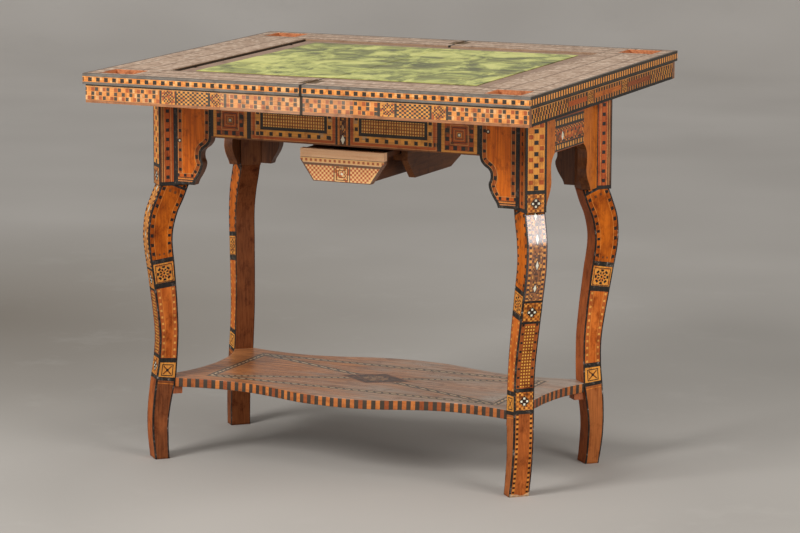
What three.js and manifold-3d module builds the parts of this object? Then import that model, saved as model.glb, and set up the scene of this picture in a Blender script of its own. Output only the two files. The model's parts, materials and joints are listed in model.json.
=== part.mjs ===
// Inlaid games table with a folding, swivelling top, shown opened.
// Units are millimetres, +Z is up and the front of the table faces -Y.
// The origin is on the floor under the middle of the opened top.

import * as THREE from 'three';
import { mergeVertices } from 'three/addons/utils/BufferGeometryUtils.js';
import Module from 'manifold-3d';

const wasm = await Module();
wasm.setup();

// Whole table

const tableHeight = 770;
const jointGap = 0.3;
const overrun = 5;
const mergeGap = 0.001;

// Opened top: two equal leaves that meet along a seam running front to back

const leafWidth = 436;
const leafDepth = 808;
const slabThick = 20;
const topThick = 54;
const rimInset = 4;
const rimThick = 13;
const floorThick = 7;

// Recess for the cloth-covered lids, and the frame that carries them

const recessWidth = 312;
const recessDepth = 600;
const lidLedge = 14;
const ringUnder = 8;
const seamBar = 12.7;
const lidSunk = 3.5;
const lidGapLeft = 9;
const lidGapRight = 2;
const lidGapDepth = 3;
const lidBorderSide = 29;
const lidBorderEnd = 31;
const clothThick = 1.2;
const notchRadius = 7;
const notchFromSeam = 188;
const notchFromMiddle = 212;
const notchFacets = 12;

// Counter wells in the four corners of the top

const wellWidth = 70;
const wellDepth = 66;
const wellFromSide = 24;
const wellFromEnd = 18;
const wellWall = 2.5;
const wellSunk = 0.4;

// Flush hinges across the seam

const hingeFromMiddle = 354;
const hingeLength = 44;
const hingeLeaf = 17;
const hingePlate = 1.6;
const barrelRadius = 2.2;
const barrelBore = 1.4;
const pinRadius = 1.1;
const knuckleGap = 0.4;
const hingeFacets = 16;

// Frame under the top

const frameShift = 18;
const frameTurnDegrees = -2.2;
const frameLean = 16;
const frontRightToe = 26;
const frameLength = 766;
const frameDepth = 334;
const apronThick = 18;
const apronHeight = 87;
const bracketLength = 78.8;
const endBracketLength = 68.6;
const bracketDrop = 93;
const postWidth = 41;
const postDepth = 58;
const postProud = 9.5;
const postHeight = 182.7;

// Legs

const legThick = 40;
const legKneeDepth = 55;
const legSet = 3;
const legSteps = 26;

// Shelf and its cleats

const shelfTop = 159;
const shelfThick = 18;
const shelfBulge = 190;
const shelfWaist = 145;
const shelfSideHalf = 347;
const shelfSteps = 12;
const cleatLength = 18;
const cleatWidth = 24;
const cleatHeight = 15;
const cleatSteps = 6;

// Swivel: rail, rivet and its heads

const railWidth = 70;
const railThick = 15.7;
const rivetRadius = 6;
const rivetHeadRadius = 11;
const rivetHeadThick = 4;
const rivetFootThick = 5.5;
const rivetFacets = 32;

// Drawer and the pair of boards that carry it

const drawerHalfTop = 86;
const drawerHalfFoot = 59;
const drawerHeight = 60;
const drawerStraight = 21;
const drawerBelowApron = 7;
const drawerFrontThick = 13;
const drawerFrontProud = 4;
const drawerLength = 222;
const drawerBoxHalf = 60;
const drawerSideThick = 10;
const drawerSideFoot = 4;
const drawerSideSunk = 1;
const drawerBottomThick = 6;
const drawerBackThick = 10;
const drawerBackSunk = 3;
const runnerHeight = 10;
const runnerReach = 22;
const carrierHalf = 98;
const carrierThick = 13;
const carrierRailHeight = 12;
const carrierRailOverlap = 16;
const carrierFront = 64;
const carrierFootRise = 1;
const carrierSlant = 34;
const carrierBackRise = 16;
const carrierBackRun = 46;
const carrierNeck = 28;
const carrierNeckEnd = 86;

// Derived levels

const half = 1 / 2;
const topBottom = tableHeight - topThick;
const slabBottom = tableHeight - slabThick;
const frameTop = topBottom - jointGap;
const apronBottom = topBottom - apronHeight;
const postBottom = frameTop - postHeight;
const kneeTop = postBottom - jointGap;
const bracketBottom = apronBottom - bracketDrop;
const floorTop = topBottom + floorThick;
const hingeAxis = tableHeight + jointGap;
const diagonal = Math.SQRT1_2;

// Frame corners, where the planes of the aprons' outer faces cross

const cornerX = frameLength * half;
const cornerY = frameDepth * half;
const postReach = postWidth * half / diagonal;

// Centre of the swivel: a quarter turn about it brings the left leaf over the middle of the frame

const pivotX = -frameShift + (frameShift - leafWidth * half) * half;
const pivotY = (frameShift - leafWidth * half) * half;

// Colours, roughness and metalness

const finishes = {
  slab: [0x8f6a4c, 0.42, 0], rim: [0x9c5a26, 0.45, 0], ring: [0x5a3218, 0.6, 0],
  floor: [0x6b3f20, 0.55, 0], well: [0xb4532a, 0.6, 0], lid: [0x8a6650, 0.5, 0],
  cloth: [0x8f9c46, 0.95, 0], brass: [0x8a6f3c, 0.4, 1], post: [0xa05a24, 0.42, 0],
  leg: [0x8e4a20, 0.42, 0], apron: [0xa8642a, 0.42, 0], bracket: [0x9a4a1e, 0.42, 0],
  shelf: [0x8b4c22, 0.4, 0], plain: [0x4e2c17, 0.62, 0], iron: [0x5c5751, 0.45, 1],
  drawer: [0xa15f2a, 0.42, 0], box: [0x6e4222, 0.6, 0],
};

const table = new THREE.Group();

// The frame stands square under the closed top. Opened, it is turned a little about the swivel.

const stand = new THREE.Group();
stand.position.set(-pivotX, -pivotY, 0);
const turned = new THREE.Group();
turned.position.set(pivotX, pivotY, 0);
turned.rotation.z = THREE.MathUtils.degToRad(frameTurnDegrees);
turned.add(stand);
table.add(turned);

function add(name, form, finish, parent = table) {
  const [color, roughness, metalness] = finishes[finish];
  const geometry = form.isBufferGeometry ? form : surface(form);
  const mesh = new THREE.Mesh(geometry, new THREE.MeshStandardMaterial({ color, roughness, metalness }));
  mesh.name = name;
  parent.add(mesh);
  return mesh;
}

// Shape helpers

// The old frame has settled to the left: below the posts it leans, most at the floor.
// The front right leg also leans in, by its toe.

function leaning(form, turn = 0, toe = 0) {
  const slope = frameLean / kneeTop;
  return form.applyMatrix4(new THREE.Matrix4().set(
    1, 0, slope * Math.cos(turn) + toe / kneeTop, -frameLean * Math.cos(turn) - toe,
    0, 1, -slope * Math.sin(turn), frameLean * Math.sin(turn),
    0, 0, 1, 0,
    0, 0, 0, 1));
}

function outline(points) {
  return points.map(([a, b]) => new THREE.Vector2(a, b));
}

function counterClockwise(points) {
  const path = outline(points);
  return THREE.ShapeUtils.isClockWise(path) ? path.reverse() : path;
}

function prism(points, from, to, basis, holes = []) {
  const shape = new THREE.Shape(counterClockwise(points));
  for (const hole of holes) shape.holes.push(new THREE.Path(outline(hole)));
  const geometry = new THREE.ExtrudeGeometry(shape, { depth: to - from, bevelEnabled: false });
  geometry.translate(0, 0, from);
  if (basis) geometry.applyMatrix4(basis);
  return geometry;
}

const alongX = new THREE.Matrix4().makeBasis(
  new THREE.Vector3(0, 1, 0), new THREE.Vector3(0, 0, 1), new THREE.Vector3(1, 0, 0));
const alongMinusY = new THREE.Matrix4().makeBasis(
  new THREE.Vector3(1, 0, 0), new THREE.Vector3(0, 0, 1), new THREE.Vector3(0, -1, 0));

const prismZ = (points, z0, z1, holes) => prism(points, z0, z1, null, holes);
const prismX = (points, x0, x1) => prism(points, x0, x1, alongX);
const prismY = (points, y0, y1) => prism(points, -y1, -y0, alongMinusY);

function box(x0, x1, y0, y1, z0, z1) {
  const geometry = new THREE.BoxGeometry(Math.abs(x1 - x0), Math.abs(y1 - y0), Math.abs(z1 - z0));
  return geometry.translate((x0 + x1) * half, (y0 + y1) * half, (z0 + z1) * half);
}

function cylinderZ(radius, x, y, z0, z1, facets) {
  const geometry = new THREE.CylinderGeometry(radius, radius, z1 - z0, facets);
  geometry.rotateX(Math.PI * half);
  return geometry.translate(x, y, (z0 + z1) * half);
}

function cylinderY(radius, x, y0, y1, z, facets) {
  const geometry = new THREE.CylinderGeometry(radius, radius, y1 - y0, facets);
  return geometry.translate(x, (y0 + y1) * half, z);
}

function rectangle(x0, x1, y0, y1) {
  return [[x0, y0], [x1, y0], [x1, y1], [x0, y1]];
}

// Boolean helpers

function solid(form) {
  if (!form.isBufferGeometry) return form;
  const bare = form.clone();
  bare.deleteAttribute('normal');
  bare.deleteAttribute('uv');
  const merged = mergeVertices(bare, mergeGap);
  return new wasm.Manifold(new wasm.Mesh({
    numProp: 3,
    vertProperties: new Float32Array(merged.attributes.position.array),
    triVerts: new Uint32Array(merged.index.array),
  }));
}

function surface(body) {
  const mesh = body.getMesh();
  const geometry = new THREE.BufferGeometry();
  const stride = mesh.numProp;
  const points = new Float32Array(mesh.vertProperties.length / stride * 3);
  for (let i = 0; i < points.length / 3; i += 1) {
    for (let k = 0; k < 3; k += 1) points[3 * i + k] = mesh.vertProperties[stride * i + k];
  }
  geometry.setAttribute('position', new THREE.BufferAttribute(points, 3));
  geometry.setIndex(new THREE.BufferAttribute(new Uint32Array(mesh.triVerts), 1));
  geometry.computeVertexNormals();
  return geometry;
}

function cut(form, ...tools) {
  let body = solid(form);
  for (const tool of tools) body = body.subtract(solid(tool));
  return body;
}

function join(form, ...others) {
  let body = solid(form);
  for (const other of others) body = body.add(solid(other));
  return body;
}

function common(first, second) {
  return solid(first).intersect(solid(second));
}

// Smooth curve through points given as [position, value], read at any position

function curveThrough(points) {
  const spline = new THREE.SplineCurve(points.map(([p, v]) => new THREE.Vector2(p, v)));
  const samples = spline.getPoints(points.length * legSteps);
  return (position) => {
    for (let i = 1; i < samples.length; i += 1) {
      const a = samples[i - 1];
      const b = samples[i];
      if (position <= b.x) return a.y + (b.y - a.y) * Math.max(0, position - a.x) / (b.x - a.x);
    }
    return samples[samples.length - 1].y;
  };
}

// Leg profile: share of the knee height against share of the knee depth

const legOuterShares = [
  [0, 0.036], [0.08, 0.135], [0.154, 0.164], [0.225, 0.127], [0.296, 0.055], [0.356, -0.018],
  [0.422, -0.055], [0.478, -0.036], [0.546, 0.045], [0.614, 0.145], [0.689, 0.255], [0.745, 0.345],
  [0.801, 0.418], [0.852, 0.418], [0.902, 0.355], [0.949, 0.2], [1, 0],
];
const legInnerShares = [
  [0, -0.49], [0.038, -0.455], [0.083, -0.436], [0.133, -0.427], [0.184, -0.473], [0.235, -0.555],
  [0.291, -0.655], [0.334, -0.69], [0.403, -0.718], [0.475, -0.727], [0.57, -0.673], [0.634, -0.618],
  [0.713, -0.545], [0.758, -0.49], [0.801, -0.455], [0.846, -0.482], [0.902, -0.618], [0.949, -0.818],
  [1, -1],
];

const legOuterShare = curveThrough(legOuterShares);
const legInnerShare = curveThrough(legInnerShares);
const legFace = postProud - legSet;
const legOuterAt = (z) => legFace + legKneeDepth * legOuterShare(z / kneeTop);
const legInnerAt = (z) => legFace + legKneeDepth * legInnerShare(z / kneeTop);

// Posts and legs stand on the diagonals of the frame

const corners = [
  ['front_left', -1, -1], ['front_right', 1, -1], ['back_right', 1, 1], ['back_left', -1, 1],
];

function cornerGroup(sx, sy) {
  const group = new THREE.Group();
  group.position.set(-frameShift + sx * cornerX, sy * cornerY, 0);
  group.rotation.z = Math.atan2(sy, sx);
  stand.add(group);
  return group;
}

function legOutline() {
  const points = [];
  for (let i = 0; i <= legSteps; i += 1) {
    const z = kneeTop * i / legSteps;
    points.push([legOuterAt(z), z]);
  }
  for (let i = legSteps; i >= 0; i -= 1) {
    const z = kneeTop * i / legSteps;
    points.push([legInnerAt(z), z]);
  }
  return points;
}

function cleatOutline() {
  const top = shelfTop - shelfThick - jointGap;
  const bottom = top - cleatHeight;
  const points = [];
  for (let i = 0; i <= cleatSteps; i += 1) {
    const z = bottom + cleatHeight * i / cleatSteps;
    points.push([legInnerAt(z) - jointGap, z]);
  }
  const inner = legInnerAt(top) - cleatLength;
  points.push([inner, top], [inner, bottom]);
  return points;
}

for (const [place, sx, sy] of corners) {
  const group = cornerGroup(sx, sy);
  const turn = Math.atan2(sy, sx);
  const toe = place === 'front_right' ? frontRightToe : 0;
  add(`post_${place}`, box(postProud - postDepth, postProud, -postWidth * half, postWidth * half,
    postBottom, frameTop), 'post', group);
  const leg = prismY(legOutline(), -legThick * half, legThick * half);
  const cleat = prismY(cleatOutline(), -cleatWidth * half, cleatWidth * half);
  add(`leg_${place}`, leaning(leg, turn, toe), 'leg', group);
  add(`shelf_cleat_${place}`, leaning(cleat, turn, toe), 'plain', group);
}

// Aprons and the bracket boards beside them. A side is described by u along it and w across it.

const frontEnd = cornerX - postReach;
const endEnd = cornerY - postReach;
const cutGap = jointGap / diagonal;

// Scalloped lower edge of a bracket: share of its length against share of its drop

const scallopShares = [
  [0, 0], [0.02, 0.08], [0.06, 0.14], [0.13, 0.2], [0.21, 0.245], [0.262, 0.3], [0.28, 0.37],
  [0.272, 0.45], [0.234, 0.53], [0.24, 0.61], [0.29, 0.72], [0.36, 0.82], [0.43, 0.91], [0.47, 1],
];
const endScallopShares = [
  [0, 0], [0.06, 0.03], [0.14, 0.08], [0.21, 0.14], [0.25, 0.22], [0.262, 0.32], [0.25, 0.42],
  [0.235, 0.5], [0.23, 0.58], [0.26, 0.66], [0.32, 0.75], [0.41, 0.84], [0.49, 0.91], [0.55, 1],
];

const sides = [
  ['front', frontEnd, cornerY, bracketLength, scallopShares, (u, w) => [-frameShift + u, -w]],
  ['back', frontEnd, cornerY, bracketLength, scallopShares, (u, w) => [-frameShift + u, w]],
  ['left', endEnd, cornerX, endBracketLength, endScallopShares, (u, w) => [-frameShift - w, u]],
  ['right', endEnd, cornerX, endBracketLength, endScallopShares, (u, w) => [-frameShift + w, u]],
];

for (const [side, end, face, length, shares, map] of sides) {
  const inner = end - length;
  const alongFront = side === 'front' || side === 'back';
  const sketch = (points, a, b) => {
    const sign = side === 'front' || side === 'left' ? -1 : 1;
    const near = Math.min(sign * a, sign * b);
    const far = Math.max(sign * a, sign * b);
    if (alongFront) return prismY(points.map(([u, z]) => [-frameShift + u, z]), near, far);
    return prismX(points, near - frameShift, far - frameShift);
  };
  add(`apron_${side}`, sketch(rectangle(-inner, inner, apronBottom, frameTop), face - apronThick, face), 'apron', stand);
  for (const hand of [-1, 1]) {
    const ends = { front: ['left', 'right'], back: ['left', 'right'], left: ['front', 'back'], right: ['front', 'back'] };
    const where = ends[side][hand < 0 ? 0 : 1];
    const start = inner + jointGap;
    const reach = end - start;
    const profile = [[hand * start, frameTop]];
    for (const [along, down] of shares) {
      profile.push([hand * (start + along * reach), apronBottom - down * bracketDrop]);
    }
    profile.push([hand * end, bracketBottom], [hand * end, frameTop]);
    const board = sketch(profile, face - apronThick, face);
    const plan = [
      [start - overrun, face + overrun], [end - cutGap + overrun, face + overrun],
      [end - cutGap - apronThick - overrun, face - apronThick - overrun],
      [start - overrun, face - apronThick - overrun],
    ].map(([u, w]) => map(hand * u, w));
    add(`bracket_${side}_${where}`,
      common(board, prismZ(plan, bracketBottom - overrun, frameTop + overrun)), 'bracket', stand);
  }
}

// Shelf: wavy long edges, hollow short edges, corners cut to meet the legs

const shelfInset = -Math.min(...Array.from({ length: cleatSteps + 1 },
  (_, i) => legInnerAt(shelfTop - shelfThick * i / cleatSteps))) + jointGap;
const shelfCornerX = cornerX - shelfInset * diagonal;
const shelfCornerY = cornerY - shelfInset * diagonal;
const tipReach = legThick * half * diagonal;
const longTipX = shelfCornerX - tipReach;
const longTipY = shelfCornerY + tipReach;
const shortTipX = shelfCornerX + tipReach;
const shortTipY = shelfCornerY - tipReach;

// Long edge: share of the way to the tip against share of the way from waist to bulge, then to the tip

const shelfBulgeShares = [[0, 1], [0.2, 0.86], [0.4, 0.38], [0.56, 0.07], [0.7, 0]];
const shelfTipShares = [[0.7, 0], [0.86, 0.34], [1, 1]];
const shelfLong = curveThrough([
  ...shelfBulgeShares.map(([p, v]) => [p * longTipX, shelfWaist + v * (shelfBulge - shelfWaist)]),
  ...shelfTipShares.slice(1).map(([p, v]) => [p * longTipX, shelfWaist + v * (longTipY - shelfWaist)]),
]);
const shelfSideShares = [[0, 0], [0.4, 0.17], [0.72, 0.5], [1, 1]];
const shelfShort = curveThrough(
  shelfSideShares.map(([p, v]) => [p * shortTipY, shelfSideHalf + v * (shortTipX - shelfSideHalf)]));

// The front right corner of the shelf is cut back as far as its leg stands in at the shelf's underside

const toeShift = frontRightToe * (1 - (shelfTop - shelfThick) / kneeTop) * diagonal;
const ease = (share) => share * share * (3 - 2 * share);

function shelfOutline() {
  const quarter = [];
  for (let i = 0; i <= shelfSteps; i += 1) {
    const x = longTipX * i / shelfSteps;
    quarter.push([x, shelfLong(x)]);
  }
  for (let i = shelfSteps; i >= 0; i -= 1) {
    const y = shortTipY * i / shelfSteps;
    quarter.push([shelfShort(y), y]);
  }
  const points = [];
  const turn = (sx, sy, list) => {
    for (const [x, y] of list) {
      const share = Math.min(x / longTipX, y / shortTipY, 1);
      const shift = sx > 0 && sy < 0 ? toeShift * ease(share) : 0;
      points.push([-frameShift + sx * (x - shift), sy * (y - shift)]);
    }
  };
  turn(1, 1, quarter);
  turn(1, -1, [...quarter].reverse().slice(1));
  turn(-1, -1, quarter.slice(1));
  turn(-1, 1, [...quarter].reverse().slice(1, -1));
  return points;
}

add('shelf', leaning(prismZ(shelfOutline(), shelfTop - shelfThick, shelfTop)), 'shelf', stand);

// Swivel rail between the long aprons, with the hole for the rivet

const railHalf = cornerY - apronThick - jointGap;
const railBottom = frameTop - railThick;
add('swivel_rail', cut(
  box(pivotX - railWidth * half, pivotX + railWidth * half, -railHalf, railHalf, railBottom, frameTop),
  cylinderZ(rivetRadius + jointGap, pivotX, pivotY, railBottom - overrun, frameTop + overrun, rivetFacets)), 'plain', stand);

// Swivel rivet: upper head sunk in the left leaf's floor, lower head under the rail

const headBottom = floorTop - rivetHeadThick;
const footTop = railBottom - jointGap;
const rivet = new THREE.LatheGeometry(outline([
  [0, footTop - rivetFootThick], [rivetHeadRadius, footTop - rivetFootThick], [rivetHeadRadius, footTop],
  [rivetRadius, footTop], [rivetRadius, headBottom], [rivetHeadRadius, headBottom],
  [rivetHeadRadius, floorTop], [0, floorTop],
]), rivetFacets);
rivet.rotateX(Math.PI * half);
rivet.translate(pivotX, pivotY, 0);
add('swivel_rivet', rivet, 'iron');

// Boards that carry the drawer, one at each side, each with a rail along its inner face

const drawerTop = apronBottom - drawerBelowApron;
const drawerFoot = drawerTop - drawerHeight;
const frontFace = -cornerY - drawerFrontProud;
const frontBack = frontFace + drawerFrontThick;
const sideTop = drawerTop - drawerSideSunk;
const runnerBottom = sideTop - runnerHeight;
const carrierRailTop = runnerBottom - jointGap;
const carrierStart = frontBack + carrierFront + jointGap;
const carrierFoot = drawerFoot + carrierFootRise;
const carrierInner = carrierHalf - carrierThick;
const carrierTop = railBottom - jointGap;
const neckBottom = apronBottom + drawerBelowApron * half;

for (const [hand, sx] of [['left', -1], ['right', 1]]) {
  const board = prismX([
    [-railHalf, neckBottom], [carrierStart, neckBottom], [carrierStart, carrierRailTop - carrierRailHeight],
    [carrierStart + carrierSlant, carrierFoot], [railHalf - carrierBackRun, carrierFoot],
    [railHalf, carrierFoot + carrierBackRise], [railHalf, carrierTop],
    [-railHalf + carrierNeckEnd, carrierTop], [-railHalf + carrierNeckEnd, neckBottom + carrierNeck],
    [-railHalf, neckBottom + carrierNeck],
  ], -frameShift + (sx < 0 ? -carrierHalf : carrierInner), -frameShift + (sx < 0 ? -carrierInner : carrierHalf));
  const rail = box(-frameShift + sx * (carrierInner - carrierRailOverlap - jointGap),
    -frameShift + sx * (carrierInner + carrierThick * half),
    carrierStart, railHalf, carrierRailTop - carrierRailHeight, carrierRailTop);
  add(`drawer_carrier_${hand}`, join(board, rail), 'plain', stand);
}

// Drawer: tapered front, sides with a runner strip along the top, back and bottom

add('drawer_front', prismY([
  [-drawerHalfTop, drawerTop], [-drawerHalfTop, drawerTop - drawerStraight], [-drawerHalfFoot, drawerFoot],
  [drawerHalfFoot, drawerFoot], [drawerHalfTop, drawerTop - drawerStraight], [drawerHalfTop, drawerTop],
].map(([x, z]) => [-frameShift + x, z]), frontFace, frontBack), 'drawer', stand);

const boxStart = frontBack + jointGap;
const boxEnd = frontBack + drawerLength;
const sideFoot = drawerFoot + drawerSideFoot;
const boxInner = drawerBoxHalf - drawerSideThick;
for (const [hand, sx] of [['left', -1], ['right', 1]]) {
  add(`drawer_side_${hand}`, prismY([
    [boxInner, sideFoot], [drawerBoxHalf, sideFoot], [drawerBoxHalf, runnerBottom],
    [drawerBoxHalf + runnerReach, runnerBottom], [drawerBoxHalf + runnerReach, sideTop], [boxInner, sideTop],
  ].map(([x, z]) => [-frameShift + sx * x, z]), boxStart, boxEnd), 'box', stand);
}
const boxClear = boxInner - jointGap;
const bottomTop = sideFoot + drawerBottomThick;
add('drawer_bottom', box(-frameShift - boxClear, -frameShift + boxClear, boxStart, boxEnd, sideFoot, bottomTop),
  'box', stand);
add('drawer_back', box(-frameShift - boxClear, -frameShift + boxClear, boxEnd - drawerBackThick, boxEnd,
  bottomTop + jointGap, sideTop - drawerBackSunk), 'box', stand);

// Leaves. Each is a slab frame on a shallow tray, with its lid, cloth and wells.

const seamHalf = jointGap;
const rimOuterX = leafWidth - rimInset;
const rimOuterY = leafDepth * half - rimInset;
const rimInnerX = rimOuterX - rimThick;
const rimInnerY = rimOuterY - rimThick;
const rimTop = slabBottom - jointGap;
const recessHalf = recessDepth * half;
const wellX1 = leafWidth - wellFromSide;
const wellX0 = wellX1 - wellWidth;
const wellY1 = leafDepth * half - wellFromEnd;
const wellY0 = wellY1 - wellDepth;
const plateBed = hingePlate + jointGap;
const barrelBed = barrelRadius + jointGap;

function mirrored(points, sx) {
  return points.map(([x, y]) => [sx * x, y]);
}

function notchAt(x, y, z0, z1) {
  return cylinderZ(notchRadius, x, y, z0, z1, notchFacets);
}

for (const [hand, sx, lidGap] of [['left', -1, lidGapLeft], ['right', 1, lidGapRight]]) {
  const leafX = (x) => sx * x;
  const slab = prismZ(mirrored([
    [seamHalf, -leafDepth * half], [leafWidth, -leafDepth * half], [leafWidth, leafDepth * half],
    [seamHalf, leafDepth * half], [seamHalf, recessHalf], [recessWidth, recessHalf],
    [recessWidth, -recessHalf], [seamHalf, -recessHalf],
  ], sx), slabBottom, tableHeight, [
    mirrored(rectangle(wellX0, wellX1, wellY0, wellY1), sx),
    mirrored(rectangle(wellX0, wellX1, -wellY1, -wellY0), sx),
  ]);
  const beds = [];
  for (const sy of [-1, 1]) {
    const y0 = sy * hingeFromMiddle - hingeLength * half - jointGap;
    const y1 = sy * hingeFromMiddle + hingeLength * half + jointGap;
    beds.push(box(-leafX(overrun), leafX(hingeLeaf + jointGap), y0, y1, tableHeight - plateBed, tableHeight + overrun));
    beds.push(box(-leafX(overrun), leafX(barrelBed), y0, y1, hingeAxis - barrelBed, tableHeight + overrun));
  }
  add(`leaf_frame_${hand}`, cut(slab, ...beds), 'slab');

  for (const [end, sy] of [['front', -1], ['back', 1]]) {
    add(`rim_${end}_${hand}`, box(leafX(seamHalf), leafX(rimOuterX), sy * rimInnerY, sy * rimOuterY,
      topBottom, rimTop), 'rim');
    const wall = wellWall + jointGap;
    const x0 = wellX0 + jointGap;
    const x1 = wellX1 - jointGap;
    const y0 = wellY0 + jointGap;
    const y1 = wellY1 - jointGap;
    const cup = box(leafX(x0), leafX(x1), sy * y0, sy * y1, floorTop + jointGap, tableHeight - wellSunk);
    const hollow = box(leafX(wellX0 + wall), leafX(wellX1 - wall), sy * (wellY0 + wall), sy * (wellY1 - wall),
      floorTop + jointGap + wellWall, tableHeight + overrun);
    add(`well_${end}_${hand}`, cut(cup, hollow), 'well');
  }
  add(`rim_side_${hand}`, box(leafX(rimInnerX), leafX(rimOuterX), -rimInnerY + jointGap, rimInnerY - jointGap,
    topBottom, rimTop), 'rim');

  const barEnd = rimInnerY - jointGap;
  const ringX = recessWidth + ringUnder;
  const ringY = recessHalf + ringUnder;
  const barX = seamHalf + seamBar;
  add(`lid_rest_${hand}`, prismZ(mirrored([
    [seamHalf, -barEnd], [barX, -barEnd], [barX, -ringY], [ringX, -ringY],
    [ringX, ringY], [barX, ringY], [barX, barEnd], [seamHalf, barEnd],
  ], sx), floorTop + jointGap, rimTop, [
    mirrored(rectangle(barX, recessWidth - lidLedge, -recessHalf + lidLedge, recessHalf - lidLedge), sx),
  ]), 'ring');

  const plate = prismZ(mirrored(rectangle(seamHalf, rimInnerX - jointGap, -barEnd, barEnd), sx), topBottom, floorTop);
  add(`leaf_floor_${hand}`, sx > 0 ? plate : cut(plate,
    cylinderZ(rivetRadius + jointGap, pivotX, pivotY, topBottom - overrun, floorTop + overrun, rivetFacets),
    cylinderZ(rivetHeadRadius + jointGap, pivotX, pivotY, headBottom - jointGap, floorTop + overrun, rivetFacets)), 'floor');

  const lidEdgeX = recessWidth - lidGap;
  const lidEdgeY = recessHalf - lidGapDepth;
  const lidTop = tableHeight - lidSunk;
  const lidBottom = slabBottom;
  const tools = [];
  for (const sy of [-1, 1]) {
    tools.push(notchAt(leafX(notchFromSeam), sy * lidEdgeY, lidBottom - overrun, lidTop + overrun));
    tools.push(notchAt(leafX(lidEdgeX), sy * notchFromMiddle, lidBottom - overrun, lidTop + overrun));
  }
  add(`lid_${hand}`, cut(box(leafX(seamHalf), leafX(lidEdgeX), -lidEdgeY, lidEdgeY, lidBottom, lidTop), ...tools), 'lid');
  add(`cloth_${hand}`, box(leafX(seamHalf), leafX(lidEdgeX - lidBorderSide), -lidEdgeY + lidBorderEnd,
    lidEdgeY - lidBorderEnd, lidTop + jointGap, lidTop + jointGap + clothThick), 'cloth');
}

// Hinges: the left plate carries the two outer knuckles, the right plate the middle one

const knuckle = (hingeLength - knuckleGap - knuckleGap) / 3;

for (const [end, sy] of [['front', -1], ['back', 1]]) {
  const middle = sy * hingeFromMiddle;
  const start = middle - hingeLength * half;
  const plateTop = tableHeight;
  const bore = () => cylinderY(barrelBore, 0, start - overrun, start + hingeLength + overrun, hingeAxis, hingeFacets);
  const knuckles = { left: [0, 2], right: [1] };
  const turns = { left: [1], right: [0, 2] };
  for (const [hand, sx] of [['left', -1], ['right', 1]]) {
    const plate = box(0, sx * hingeLeaf, start, start + hingeLength, plateTop - hingePlate, plateTop);
    const barrels = knuckles[hand].map((i) => {
      const y = start + i * (knuckle + knuckleGap);
      return cylinderY(barrelRadius, 0, y, y + knuckle, hingeAxis, hingeFacets);
    });
    const clears = turns[hand].map((i) => {
      const y = start + i * (knuckle + knuckleGap);
      return box(-barrelBed, barrelBed, y - knuckleGap, y + knuckle + knuckleGap,
        plateTop - plateBed - barrelBed, plateTop + overrun);
    });
    const beyond = box(-sx * overrun, 0, start - overrun, start + hingeLength + overrun,
      plateTop - hingePlate - overrun, plateTop + overrun);
    const trimmed = cut(plate, beyond, ...clears);
    add(`hinge_plate_${end}_${hand}`, cut(join(trimmed, ...barrels), bore()), 'brass');
  }
  add(`hinge_pin_${end}`, cylinderY(pinRadius, 0, start, start + hingeLength, hingeAxis, hingeFacets), 'brass');
}

export default table;
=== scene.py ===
# %% [markdown]
# # An inlaid games table with its top opened flat
# The script dresses a table whose solids are already made. Each wooden
# piece gets its veneer and its inlay as a material worked out from
# formulas, and the pieces with curved edges are made again as fine
# surfaces, so that a border can follow the curve.
#
# Loading comes first, because every later step asks the solids where
# they are.

# %% Load the solids
import json

import bpy
import numpy as np
from mathutils import Matrix


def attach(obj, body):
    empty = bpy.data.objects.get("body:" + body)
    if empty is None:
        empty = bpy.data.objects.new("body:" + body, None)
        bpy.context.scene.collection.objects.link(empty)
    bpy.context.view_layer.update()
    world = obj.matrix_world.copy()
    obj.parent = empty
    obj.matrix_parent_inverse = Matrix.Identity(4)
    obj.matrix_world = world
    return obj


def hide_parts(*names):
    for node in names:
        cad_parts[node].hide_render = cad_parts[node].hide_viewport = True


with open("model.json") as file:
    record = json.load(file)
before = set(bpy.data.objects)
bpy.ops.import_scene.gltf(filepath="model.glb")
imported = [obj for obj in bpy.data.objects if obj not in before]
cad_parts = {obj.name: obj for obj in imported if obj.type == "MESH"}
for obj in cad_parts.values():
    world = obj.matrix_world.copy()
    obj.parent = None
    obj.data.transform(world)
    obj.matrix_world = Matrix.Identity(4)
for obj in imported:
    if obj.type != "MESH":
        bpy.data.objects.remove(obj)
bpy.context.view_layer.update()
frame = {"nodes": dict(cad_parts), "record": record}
nodes = frame["nodes"]
body_of_node = {
    name: body
    for body, names in frame["record"]["behaviour"]["bodies"].items()
    for name in names
}
MM = 0.001

# %% [markdown]
# ## The camera
# A long lens stands to the right of the front and a little above the
# top. Its place was worked out from the corners of the top, the seam
# and the feet. Three unit vectors (right, up and back) make the
# columns of the camera's matrix: this is surer than angles, since
# roll is then just a turn of the first two.

# %% Camera
AZIMUTH, ELEVATION, ROLL = 22.867, 10.036, 0.171
LENS, SENSOR = 147.966, 36.0
CAMERA_PLACE = (2.4133, -5.6688, 1.4683)


def view_axes(azimuth, elevation, roll=0):
    """Right is level; back points from the subject to the lens; up is
    back x right; then right and up turn by the roll about back."""
    a, e, r = np.radians([azimuth, elevation, roll])
    right = np.array([np.cos(a), np.sin(a), 0])
    back = np.array([np.sin(a) * np.cos(e), -np.cos(a) * np.cos(e), np.sin(e)])
    up = np.cross(back, right)
    return (
        right * np.cos(r) + up * np.sin(r),
        up * np.cos(r) - right * np.sin(r),
        back,
    )


def stand(name, data, axes, place):
    """Put a camera or a lamp at a place, turned to three axes."""
    matrix = np.eye(4)
    matrix[:3, :3], matrix[:3, 3] = np.array(axes).T, place
    thing = bpy.data.objects.new(name, data)
    thing.matrix_world = Matrix(matrix.tolist())
    bpy.context.scene.collection.objects.link(thing)
    return thing


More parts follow.
